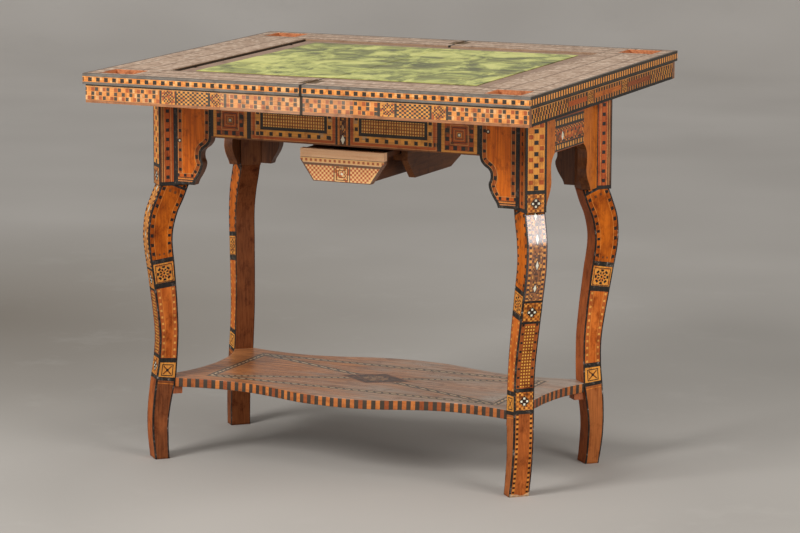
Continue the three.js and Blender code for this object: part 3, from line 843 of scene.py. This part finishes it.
face = lay(
    colour(192, 104, 46),
    (cloud * 0.5 + grain * 0.5, colour(116, 58, 26)),
    (off.near(13.4, 2.3) * (1 - bare), dashes),
    (run.between(207, 327) * (off < 10.4), beads),
    ((run > 376) * (off < 10.4), leaf),
)
for centre in (353, 179.5):
    face = lay(face, (run.near(centre, 18), pearl_chequer(across, run - centre, 17.5)))
face = lay(face, (run.spans(*LINES).most(off > 16.9), ebony))
print("with the outer faces:", len(leg_inlay.tree.nodes), "nodes")

# %% Leg inlay: the two together, wear and varnish
rubbed_and_glint = (run - cloud * 5 - off * 0.25 < 4) * (off < 19.4)
plain = lay(
    colour(131, 73, 39),
    (x > 0, colour(190, 102, 50)),
    (grain * 0.4 + cloud * 0.3, colour(78, 42, 24)),
)
tone = lay(
    face,
    (off > 19.4, side),
    (rubbed_and_glint * (x > 0) * (y < 0) * 0.7, colour(222, 192, 156)),
    ((from_inner < 1.2) * (off < 18.6), plain),
)
polish(tone, grain, 0.5, wear=0, shine=0.08)
coat = (from_outer < 1.5) * (run > 376) * (x > 0)
leg_inlay.shade(Coat_Weight=coat, Coat_Roughness=0.22, Coat_IOR=1.7)
for leg in legs.values():
    leg.data.materials.append(leg_inlay.material)
print("leg inlay nodes:", len(leg_inlay.tree.nodes))

# %% [markdown]
# ## The scalloped brackets
# Eight boards, one at each end of each apron, have a scalloped edge
# with a border that follows it. Boards cut from the solids would have
# no numbers for a border to follow. So each is made again, and every
# point of its grid is measured against a finely divided edge, as whole
# arrays: that gives its distance to the edge and its run along it.

# %% Bracket outlines
SCALLOPS = [
    (0, 0), (0.02, 0.08), (0.06, 0.14), (0.13, 0.2), (0.21, 0.245),
    (0.262, 0.3), (0.28, 0.37), (0.272, 0.45), (0.234, 0.53), (0.24, 0.61),
    (0.29, 0.72), (0.36, 0.82), (0.43, 0.91), (0.47, 1),
]
END_SCALLOPS = [
    (0, 0), (0.06, 0.03), (0.14, 0.08), (0.21, 0.14), (0.25, 0.22),
    (0.262, 0.32), (0.25, 0.42), (0.235, 0.5), (0.23, 0.58), (0.26, 0.66),
    (0.32, 0.75), (0.41, 0.84), (0.49, 0.91), (0.55, 1),
]
BRACKET_TOP, APRON_FOOT, BRACKET_FOOT, BOARD = 715.7, 629.0, 536.0, 18.0
ROWS_LOW, ROWS_HIGH, POINTS_ACROSS, FOOT_STEPS = 75, 12, 26, 39


def bracket(name, start, end, face, shares, signs, swap):
    """Rows of one level each. A row runs over the outer face from the
    scalloped edge to the post, back along the mitred end and home over
    the inner face; the edge's place is the scallop's share of the
    length at that level."""
    low = np.linspace(BRACKET_FOOT, APRON_FOOT, ROWS_LOW)
    z = np.concatenate([low, np.linspace(APRON_FOOT, BRACKET_TOP, ROWS_HIGH)[1:]])
    down = np.clip((APRON_FOOT - z) / (APRON_FOOT - BRACKET_FOOT), 0, 1)
    edge = start + (end - start) * curve_through([(v, u) for u, v in shares], down)
    front = edge[:, None] + (end - edge)[:, None] * np.linspace(0, 1, POINTS_ACROSS)
    mitre = np.full((len(z), 2), end) - [BOARD / 2, BOARD]
    back = edge[:, None] + (end - BOARD - edge)[:, None] * [0.5, 0]
    u = np.concatenate([front, mitre, back], 1)
    depth = np.array([0.0] * POINTS_ACROSS + [BOARD / 2] + [BOARD] * 3)
    w, high = face - depth + 0 * u, z[:, None] + 0 * u
    under = np.linspace(end, edge[0], FOOT_STEPS + 1)[:-1]
    under = np.stack([under, np.full(FOOT_STEPS, BRACKET_FOOT)], 1)
    line = np.concatenate([under, np.stack([edge, z], 1)])
    step = np.linalg.norm(np.diff(line, axis=0), axis=1)
    run = np.concatenate([[0], np.cumsum(step)])
    gap = np.hypot(u[..., None] - line[:, 0], high[..., None] - line[:, 1])
    rim = np.stack([gap.min(-1), run[gap.argmin(-1)]], -1)
    a, b = (w, u) if swap else (u, w)
    ring = np.stack([a * signs[0], b * signs[1], high], -1)
    flip = signs[0] * signs[1] * (-1 if swap else 1) > 0
    piece = ring_piece(name, to_world(ring), flip, smooth=False)
    store_pairs(piece, "rim", rim.reshape(-1, 2))
    store_pairs(piece, "place", np.stack([end - u, high], -1).reshape(-1, 2))
    return piece


print("a bracket is", round(BRACKET_TOP - BRACKET_FOOT, 1), "mm high")

# %% Bracket surfaces
LONG_BOARD = (275.51, 354.01, 167, SCALLOPS)
END_BOARD = (69.71, 138.01, 383, END_SCALLOPS)
brackets = []
for place_name in ("front_left", "front_right", "back_left", "back_right"):
    signs, (end_name, side_name) = CORNER_SIGNS[place_name], place_name.split("_")
    for node_name, board, swap in (
        (f"bracket_{end_name}_{side_name}", LONG_BOARD, False),
        (f"bracket_{side_name}_{end_name}", END_BOARD, True),
    ):
        piece = bracket("scalloped_" + node_name, *board, signs, swap)
        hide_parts(node_name)
        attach(piece, body_of_node[node_name])
        brackets.append(piece)
print("brackets:", len(brackets))

# %% Bracket veneer
FOOT_LINES = [
    (530, BLACK), (541, colour(196, 126, 74)), (543.6, BLACK),
    (545.4, colour(214, 130, 60)), (548.4, BLACK), (550, colour(204, 100, 34)),
]
bracket_inlay = Finish("bracket_inlay")
here, x, y, z = bracket_inlay.place(turned=True)
from_rim, run = bracket_inlay.pair("rim")
from_post, height = bracket_inlay.pair("place")
grain = here.noise((0.35, 0.35, 0.012), 4.0)
tone = lay(colour(242, 128, 25), (grain, colour(191, 85, 19)))
border = lay(colour(204, 100, 34), (grain, BROWN))
for off, at, along in ((from_rim, 9.5, run), (from_post, 12, height)):
    inlaid = dentils(border, along, off, 18.5, 6, at)
    inlaid = lay(inlaid, (abs(off - at).near(3.9, 0.6), LINE))
    tone = lay(tone, (off < at + 4.5, inlaid))
foot = dentils(height.ramp(FOOT_LINES, 530, 558), from_post, height, 15, 5.6, 553.6)
tone = lay(tone, (height < 557.6, lay(foot, (height > 556.6, LINE))))
# each nail head is a dark ring round a pale dot; the pale dot is a painted glint
for side, nail_at, nail_high in ((x < 0, 11, 619.5), (x > 0, 62, 674)):
    nail = distance(from_post - nail_at, height - nail_high) + (1 - side) * 50
    tone = lay(tone, (nail < 4.2, DARK), (nail < 1.9, PEARL))
dark_edge = (from_post < 7).most(from_rim < 5.4).most(height < 541)
tone = lay(tone, (dark_edge, worn_black(here)))
on_front, on_end = abs(y) > CORNER[1] - 0.3, abs(x) > CORNER[0] - 0.3
tone = lay(
    lay(colour(214, 124, 36), (grain, colour(168, 82, 24))),
    (on_front, tone),
    ((1 - on_front) * (1 - on_end), lay(BROWN, (grain, DARK))),
)
polish(tone, grain, 0.34, wear=0, shine=0.25)
for piece in brackets:
    piece.data.materials.append(bracket_inlay.material)
print("bracket inlay nodes:", len(bracket_inlay.tree.nodes))

# %% [markdown]
# ## The shelf
# The shelf's long edges swell out and in, and its short edges are
# hollow. It could be a curve object filled and given a thickness, but
# an outline in numbers also knows its run, which the light and dark
# strips of the edge follow. A quarter of the outline is worked out and
# mirrored twice. Rings of it, each a little in or up from the last,
# round the edge, and a face closes them above and below.

# %% Shelf outline
SHELF_LOW, SHELF_HIGH = 141.0, 159.0
LONG_TIP, SHORT_TIP = (348.3, 160.6), (376.6, 132.4)
WAIST, BULGE, SIDE_HALF = 145.0, 190.0, 347.0
TOE_SHIFT = FRONT_RIGHT_TOE * (1 - SHELF_LOW / LEG_HEIGHT) * np.sqrt(0.5)
SWELL = ((0, 1), (0.2, 0.86), (0.4, 0.38), (0.56, 0.07), (0.7, 0))
EAR = ((0.86, 0.34), (1, 1))
HOLLOW = ((0, 0), (0.4, 0.17), (0.72, 0.5), (1, 1))


def edge_points(shares, length, low, high):
    """Shares of the way along, and of the way from low to high."""
    return [(p * length, low + v * (high - low)) for p, v in shares]


long_points = edge_points(SWELL, LONG_TIP[0], WAIST, BULGE)
long_points += edge_points(EAR, LONG_TIP[0], WAIST, LONG_TIP[1])
side_points = edge_points(HOLLOW, SHORT_TIP[1], SIDE_HALF, SHORT_TIP[0])
sx, sy = np.linspace(0, LONG_TIP[0], 61), np.linspace(0, SHORT_TIP[1], 25)
long_edge = np.stack([sx, curve_through(long_points, sx)], 1)
side_edge = np.stack([curve_through(side_points, sy), sy], 1)
quarter = np.concatenate([side_edge, long_edge[::-1]])
half = np.concatenate([quarter, (quarter * (-1, 1))[::-1][1:]])
whole = np.concatenate([half, (half * (1, -1))[::-1][1:-1]])
at_tip = (abs(whole) / (LONG_TIP[0], SHORT_TIP[1])).min(1).clip(0, 1)
front_right = (whole[:, 0] > 0) * (whole[:, 1] < 0)
cut = TOE_SHIFT * at_tip**2 * (3 - 2 * at_tip) * front_right
whole -= cut[:, None] * np.sign(whole)
step = np.linalg.norm(np.diff(whole, axis=0, append=whole[:1]), axis=1)
print("shelf edge:", round(float(step.sum())), "mm round")

# %% Shelf surface
SHELF_RINGS = [  # how far in, how far up
    (2, 0), (1.2, 0), (0.35, 0.35), (0, 1.2),
    (0, 16.8), (0.35, 17.65), (1.2, 18), (2, 18),
]
run = np.concatenate([[0], np.cumsum(step)[:-1]])
along = np.roll(whole, -1, 0) - np.roll(whole, 1, 0)
away = np.stack([along[:, 1], -along[:, 0]], 1)
away /= np.linalg.norm(away, axis=1)[:, None]
rings = np.array([
    np.column_stack([whole - away * inset, np.full(len(whole), SHELF_LOW + rise)])
    for inset, rise in SHELF_RINGS
])
shelf = ring_piece("wavy_shelf", to_world(leaning(rings)))
store_pairs(shelf, "run", np.tile(np.column_stack([run, run]), (len(rings), 1)))
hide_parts("shelf")
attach(shelf, body_of_node["shelf"])
print("shelf:", len(shelf.data.polygons), "faces")

# %% Shelf inlay
DIAMOND_X, DIAMOND_Y, DIAMOND_SIDE = 298, 112, 318
shelf_inlay = Finish("shelf_inlay")
here, x, y, z = shelf_inlay.place(turned=True)
grain = here.noise((0.012, 0.2, 0.2), 5.0, 0.6)
x = x + FRAME_LEAN * (1 - SHELF_HIGH / LEG_HEIGHT)
worn = here.noise((0.006, 0.02, 0.01), 5.0, 0.65) + x * 0.0007
tone = lay(
    colour(200, 130, 76),
    ((grain - 0.35) * 2.4, colour(118, 74, 48)),
    ((worn - 0.36) * 2.6, lay(colour(190, 172, 154), (grain, colour(144, 124, 108)))),
)
u, v = abs(x), abs(y)
ebony = lay(colour(70, 56, 46), (grain, colour(104, 86, 70)))
rope = lay(colour(206, 176, 138), ((x + y) % 16 < 5, ebony))
frame_edge = (u - DIAMOND_X).most(v - DIAMOND_Y)
slant = (u * DIAMOND_Y - v * DIAMOND_X) / DIAMOND_SIDE
for line, inside in ((frame_edge, 1.0), (slant, frame_edge < -6)):
    thread = line.near(0, 10.5) * (1 - line.near(0, 9.3))
    tone = lay(
        tone,
        (line.near(0, 7.5) * inside, ebony),
        (line.near(0, 2.6) * inside, rope),
        (thread * inside, colour(188, 140, 92)),
    )
medal = u / 70 + v / 44
tone = lay(
    tone,
    (medal < 1.12, colour(150, 96, 60)),
    (medal < 1, slips(x, y, 6, (DARK, colour(88, 60, 44), BROWN))),
    (star(x, y * 1.3) < 22, slips(x, y, 5, (colour(150, 112, 78), DARK, BROWN))),
)
strip = (shelf_inlay.pair("run")[0] / 8.2).floor()
strips = lay(
    lay(colour(206, 124, 58), (strip.lot(), colour(150, 74, 34))),
    (strip % 2 < 0.5, lay(BLACK, (grain * 0.6, colour(90, 74, 60)))),
)
under = lay(BROWN, (grain, DARK))
tone = lay(tone, (z < SHELF_HIGH - 0.6, strips), (z < SHELF_LOW + 0.5, under))
polish(tone, grain, 0.33, age=0.7)
shelf.data.materials.append(shelf_inlay.material)
print("shelf inlay nodes:", len(shelf_inlay.tree.nodes))

# %% [markdown]
# ## The drawer
# The small drawer's front is a tapered board: a plain moulding, a row
# of teeth and two chequered fields with a ringed pearl square between
# them. Its box and the boards that carry it show only their grain, so
# one function makes each of those woods.

# %% Drawer front
PANEL_TOP, PANEL_HIGH, CHECK = 592, 578, 4.2
here, x, y, z = Finish("drawer_inlay").place(turned=True)
grain = here.noise((0.02, 0.5, 0.4), 4.0)
wood = lay(colour(255, 214, 168), (grain, colour(232, 166, 118)))
cream, sienna = colour(255, 206, 140), colour(204, 106, 64)
teeth = lay(cream, (grain, colour(246, 184, 112)))
teeth = dentils(teeth, x, z, 9.8, 4.8, 601, colour(190, 104, 66))
odd = ((x / CHECK).floor() + (z / CHECK).floor()) % 2
off, up = abs(x), abs(z - PANEL_HIGH)
rings = off.most(up).near(11.6, 0.9).most(off.most(up).near(6.4, 0.8))
middle = lay(
    slips(x, z, 3, (cream, sienna, ORANGE)),
    (rings, colour(134, 82, 50)),
    (off + up < 3, colour(252, 248, 220)),
)
on_panel = z < PANEL_TOP
lines = z.spans((591.5, 596), (605.2, 606.2)).most(off.near(16, 1) * on_panel)
edge = off - (z - 562) * 0.69 - 52
tone = lay(
    wood,
    (z.between(597.5, 605), teeth),
    (z.between(564, PANEL_TOP), lay(cream, (odd, sienna))),
    ((off < 16) * on_panel, middle),
    (lines, colour(128, 94, 72)),
    (edge.between(0, 5) * (x > 0) * (z < 583), colour(255, 204, 136)),
    ((edge > 4.6).most(z < 563.5) * (z < 600), colour(112, 84, 68)),
    (y > -170.8, lay(BROWN, (z > 606, wood))),
)
dress(polish(tone, grain * 0.7, 0.3, age=0.2), "drawer_front")


# %% Plain woods
def plain_wood(name, light, dark, scales, gloss=0.5, turned=True):
    """A wood whose only pattern is its grain."""
    here, *_ = Finish(name).place(turned)
    grain = here.noise(scales, 5.0)
    fine = here.noise(tuple(s * 3 for s in scales), 2.0)
    tone = lay(colour(*light), (grain * 0.7 + fine * 0.3, colour(*dark)))
    return polish(tone, grain, gloss)


dress(
    plain_wood("drawer_wood", (114, 60, 24), (62, 32, 12), (0.3, 0.015, 0.3)),
    "drawer_side", "drawer_bottom", "drawer_back",
)
dress(
    plain_wood("carrier_wood", (136, 78, 34), (80, 44, 18), (0.4, 0.015, 0.3)),
    "drawer_carrier", "swivel_rail",
)
dress(
    plain_wood("cleat_wood", (196, 108, 58), (134, 70, 38), (0.3, 0.3, 0.03)),
    "shelf_cleat",
)

# %% [markdown]
# ## The opened top
# The top's edge is a slab over three rim boards for each leaf: the slab
# has one row of squares between two black beads, and the rims have
# checkers, flowers and lattices set side by side. The upper face was
# rubbed and washed until only its boards show. Each leaf could have
# materials of its own, but the patterns run on across the seam, so the
# two share them. The top isn't turned, so they read the plain axes.

# %% Slab edges
RECESS_X, RECESS_Y, TOP_X, TOP_Y = 312.0, 300.0, 436.0, 404.0
SLAB_TOP, SEAM_HALF = 769.5, 2.9
SLAB_TONES = (colour(240, 158, 78), colour(222, 136, 62), colour(240, 176, 110))
here, x, y, z = Finish("slab_inlay").place()
on_side = abs(x) > TOP_X - 0.3
run = x + (y - x) * on_side
grain = here.noise((0.02, 0.35, 0.5), 5.0)
row = dentils(slips(run, z, 8.25, SLAB_TONES), run, z, 16.5, 7.6, 759.4)
# painted highlight: pale grey glints along the black beads of the front and back slab edges
rubbed_and_glint = here.noise((0.03, 0.03, 0.3)) * (1 - on_side)
row = lay(
    row,
    (on_side, lay(colour(236, 154, 70), ((run % 13).near(6.5, 3.3), BLACK))),
    # the black beads carry the painted grey highlights
    ((z > 764.5).most(z < 754.6), lay(BLACK, (rubbed_and_glint, colour(148, 142, 134)))),
)
print("opened top:", 2 * TOP_X, "by", 2 * TOP_Y, "mm")

# %% Washed upper face and the wells
streak = here.noise((0.014, 0.045, 0.1), 6.0, 0.78)
specks = (x / 5).floor().lot((y / 11).floor())
at_edge = (abs(x) - TOP_X + 5).most(abs(y) - TOP_Y + 9) > 0
edge_x, edge_y = abs(x) - RECESS_X, abs(y) - RECESS_Y
boards = edge_x.spans((3, 4.6), (42, 45), (92, 95))
boards = boards.most(edge_y.spans((2, 9), (40, 46), (76, 82)))
upper = lay(
    colour(210, 183, 160),
    (grain, colour(162, 136, 114)),
    ((streak - 0.47) * 3.2, colour(122, 92, 70)),
    ((0.44 - streak) * 3.2, colour(226, 206, 186)),
    ((specks > 0.8) * 0.35, colour(124, 92, 70)),
    ((specks < 0.12) * 0.35, colour(232, 214, 192)),
    (at_edge, colour(104, 94, 86)),
    (boards * 0.75, colour(84, 62, 48)),
)
# painted shadow: the recess wall on the left is darkened, where shade falls in the gap
# beside the lid
left_wall_shadow = (x < 0) * (edge_x > -1.5) * (z < 768.4)
wall = lay(colour(150, 120, 96), (left_wall_shadow, colour(40, 28, 20)))
below = z < SLAB_TOP
in_well = (abs(abs(x) - 377) < 36) * (abs(abs(y) - 353) < 34) * below
# painted shade: the left walls of the wells are darkened
well_wall_shade = (x < -411.5).most(x.near(342, 0.6))
tone = lay(
    row,
    (z > SLAB_TOP, upper),
    ((edge_x.most(edge_y) < 1) * below, wall),
    (in_well, lay(colour(192, 114, 68), (well_wall_shade, colour(88, 44, 24)))),
    # painted shade in the seam's gap between the two leaves
    (abs(x) < SEAM_HALF, SEAM_SHADOW),
)
dress(polish(tone, grain, 0.5, wear=0.04, shine=0.15, age=0.7), "leaf_frame")

# %% Front and back rims
RIM_FOOT, RIM_ROW, RIM_HIGH, RIM_LINE = 721.5, 8.0, 734, 745.5
RIM_TONES = (colour(236, 152, 74), ORANGE, colour(238, 178, 116))


def rim_rows(run, z):
    """Three rows of cells: every third cell black in the outer rows,
    every second in the middle one."""
    up = z - RIM_FOOT
    column, row = (run / 7.8).floor(), (up / RIM_ROW).floor()
    middle = row.near(1, 0.2)
    third, second = (column + row) % 3 < 0.5, column % 2 < 0.5
    block = (run % 7.8).near(3.9, 3.2) * (up % RIM_ROW).near(4, 3.4)
    dark = third * (1 - middle) + second * middle
    reds = ((column + row) % 3).near(2, 0.4) * (1 - middle)
    return lay(
        slips(run, up, 7.9, RIM_TONES),
        (reds * block, RED),
        (dark * block, colour(60, 54, 48)),
    )


here, x, y, z = Finish("front_rim_inlay").place()
grain = here.noise((0.03, 0.5, 0.5))
run = abs(x)
petal, up = abs(run - 215.5) - 48, z - RIM_HIGH
dots = ((petal / 3).floor() + (up / 3).floor()) % 2
flower = slips(x, z - 721, 3.0, (AMBER, RED, AMBER))
flower = lay(flower, (star(petal, up).between(2.5, 9.5) * dots, BLACK))
top_line = lay(BLACK, (z < 747, LINE))
haze = here.noise((0.01, 0.05, 0.05), 4.0) * x.near(-30, 130)
tone = lay(
    rim_rows(x, z),
    (run.spans((152, 181), (249, 279)), flower),
    (run.between(183, 247), lattice(x, z, 4.6, 3.5)),
    (run.spans((147, 152), (179, 184), (246, 250), (277, 281)), BLACK),
    (z > RIM_LINE, top_line),
    (z < RIM_FOOT - 0.2, lay(colour(204, 132, 80), (grain, colour(96, 56, 34)))),
    (haze * 0.36, colour(196, 176, 156)),
    # painted shade in the seam's gap between the two leaves
    (run < SEAM_HALF, SEAM_SHADOW),
    (abs(y) < 399.6, BROWN),
)
dress(polish(tone, grain, 0.42, wear=0.08), "rim_front", "rim_back")

# %% Side rims
SIDE_BARS = [
    (-206, -203), (-105, -101), (-69, -66), (83, 87), (117, 120), (250, 253),
]
here, x, y, z = Finish("side_rim_inlay").place()
grain = here.noise((0.5, 0.03, 0.5))
tier = ((z - RIM_FOOT) / RIM_ROW).floor()
panels = y.ramp([(-412, RED), (-90, ORANGE), (102, RED)], -412, 412)
panels = lay(panels, (grain, lay(FIELD, (y > 102, BROWN))))
teeth = lay(colour(204, 128, 60), (y % 14 < 7, BLACK))
tone = lay(
    slips(y, z - RIM_FOOT, 7, (AMBER, colour(204, 124, 56), AMBER)),
    ((y / 14 - tier / 3) % 1 < 0.5, BLACK),
    (y.between(-204, 251), lay(teeth, (z.near(RIM_HIGH, 4.6), panels))),
    (y.between(-102, -68), rosette(y + 85, z - RIM_HIGH, 13)),
    (y.between(86, 118), rosette(y - 102, z - RIM_HIGH, 14)),
    (y.spans(*SIDE_BARS), BLACK),
    (z > RIM_LINE, lay(BLACK, (z < 747, LINE))),
    (z < RIM_FOOT - 0.2, BLACK),
    (abs(x) < 431.6, BROWN),
    (z > 0, colour(228, 228, 228), "MULTIPLY"),
)
dress(polish(tone, grain, 0.42, wear=0, shine=0.15), "rim_side")

# %% Lids, wells and inner boards
LID_GRAIN, INNER_GRAIN = (0.015, 0.25, 0.3), (0.25, 0.012, 0.3)
dress(
    plain_wood("lid_wood", (172, 142, 118), (136, 104, 82), LID_GRAIN, 0.4, False),
    "lid_left", "lid_right",
)
dress(
    plain_wood("inner_wood", (96, 56, 30), (58, 32, 18), INNER_GRAIN, 0.5, False),
    "lid_rest",
)
dress(
    plain_wood("well_wood", (212, 136, 86), (172, 98, 58), INNER_GRAIN, 0.45, False),
    "well_",
)

# %% [markdown]
# The leaf floors are the game field inside and the table's top when
# it is closed, so they get a geometric inlay: a checkered border and a
# big eight-pointed star with a lattice and a pearl star inside it.

# %% Leaf floors
here, x, y, z = Finish("floor_inlay").place()
grain = here.noise((0.02, 0.3, 0.3), 4.0)
u = abs(x) - TOP_X / 2
edge, big = (abs(u) - 200).most(abs(y) - 380), star(u, y)
tone = lay(
    colour(150, 86, 44),
    (grain, colour(110, 58, 30)),
    (edge.between(-40, -16), slips(x, y, 8, (AMBER, ORANGE, BLACK))),
    (edge.spans((-43, -40), (-16, -13)), BLACK),
    (big < 110, slips(u, y, 11, (ORANGE, AMBER, DARK))),
    (big < 60, lattice(u, y, 9, 9)),
    (big < 24, lay(PEARL, (grain, TAN))),
    (big.spans((24, 27), (57, 60), (104, 110)), BLACK),
)
dress(polish(tone, grain, 0.3), "leaf_floor")


# %% [markdown]
# ## Hinges, rivet and velvet
# The hinges are small brass plates let into the seam; the rivet under
# the top is iron. The velvet has been brushed this way and that for
# years, so its nap lies in long light and dark streaks: a noise that
# is shifted by another noise bends them. The cloth lies flat, with
# only a slight swell of its nap, so it needs no simulation.

# %% Metals
def metal(name, bright, dull, rough):
    """Bare metal with brushed noise in its roughness and tone."""
    finish = Finish(name)
    here, *_ = finish.place()
    streak, stain = here.noise((0.08, 0.9, 0.9), 4.0), here.noise(0.05)
    dull = colour(*dull)
    tone = lay(colour(*bright), (streak, dull), (stain * 0.6, dull))
    finish.shade(Metallic=1.0, Base_Color=tone, Roughness=streak * 0.3 + rough)
    return finish.material


dress(metal("aged_brass", (176, 148, 114), (104, 82, 60), 0.42), "hinge_")
dress(metal("dark_iron", (110, 105, 98), (60, 52, 46), 0.4), "swivel_rivet")

# %% Velvet sheets
CLOTHS = {"cloth_left": (-274.0, -0.3), "cloth_right": (0.3, 281.0)}
CLOTH_Y, CLOTH_HIGH, SWELL_HIGH, EDGE_FADE = 266.0, 767.9, 0.35, 12
velvet_pieces = []
for node_name, (x0, x1) in CLOTHS.items():
    gx, gy = np.meshgrid(np.linspace(x0, x1, 90), np.linspace(-CLOTH_Y, CLOTH_Y, 170))
    wave = np.sin(gx * 0.045 + 1.7 * np.sin(gy * 0.013))
    wave = wave * np.sin(gy * 0.031 + gx * 0.012)
    near_edge = np.minimum.reduce([gx - x0, x1 - gx, CLOTH_Y - abs(gy)])
    rise = SWELL_HIGH * (1 + wave) / 2 * np.clip(near_edge / EDGE_FADE, 0, 1)
    points = np.stack([gx, gy, CLOTH_HIGH - SWELL_HIGH + rise], -1) * MM
    piece = mesh_object(
        node_name.replace("cloth", "velvet"), points.reshape(-1, 3), grid_faces(*gx.shape)
    )
    solid = piece.modifiers.new("thickness", "SOLIDIFY")
    solid.thickness, solid.offset = 0.0006, -1
    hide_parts(node_name)
    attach(piece, body_of_node[node_name])
    velvet_pieces.append(piece)
print("velvet:", [p.name for p in velvet_pieces])

# %% Velvet finish
NAP = [
    (0.36, colour(84, 84, 44)), (0.46, colour(124, 126, 64)),
    (0.52, colour(162, 164, 86)), (0.62, colour(196, 194, 112)),
]
velvet = Finish("green_velvet")
here, *_ = velvet.place()
warp, broad = here.noise((0.008, 0.004, 0.01), 2.0), here.noise((0.0035, 0.0045, 0.01), 2.0)
bent = velvet.node("Mapping", {}, {0: here, 2: (0, 0, 0.3), 3: (0.014, 0.011, 0.01)})
shift = velvet.node("CombineXYZ", {}, {0: warp * 2.4, 1: warp * 0.8})
shifted = velvet.node("VectorMath", {"operation": "ADD"}, {0: bent, 1: shift})
brushed = {"Scale": 1.6, "Detail": 6.0, "Roughness": 0.7, "Distortion": 0.25}
streak = velvet.node("TexNoise", {}, {"Vector": shifted, **brushed})
warm, pile = here.noise((0.01, 0.03, 0.01), 2.0), here.noise(1.2, 2.0)
tone = lay(
    (streak + (broad - 0.5) * 0.5).ramp(NAP, 0, 1, steps=False),
    ((warm - 0.5) * 1.2, colour(196, 186, 92)),
    (pile * 0.18, colour(70, 72, 36)),
)
relief = {"Strength": 0.4, "Distance": 0.001, "Height": streak + pile * 0.3}
velvet.shade(
    Base_Color=tone, Roughness=0.85, Specular_IOR_Level=0.1,
    Sheen_Weight=0.12, Sheen_Roughness=0.4, Normal=velvet.node("Bump", {}, relief),
)
for piece in velvet_pieces:
    piece.data.materials.append(velvet.material)
print("velvet nodes:", len(velvet.tree.nodes))

# %% [markdown]
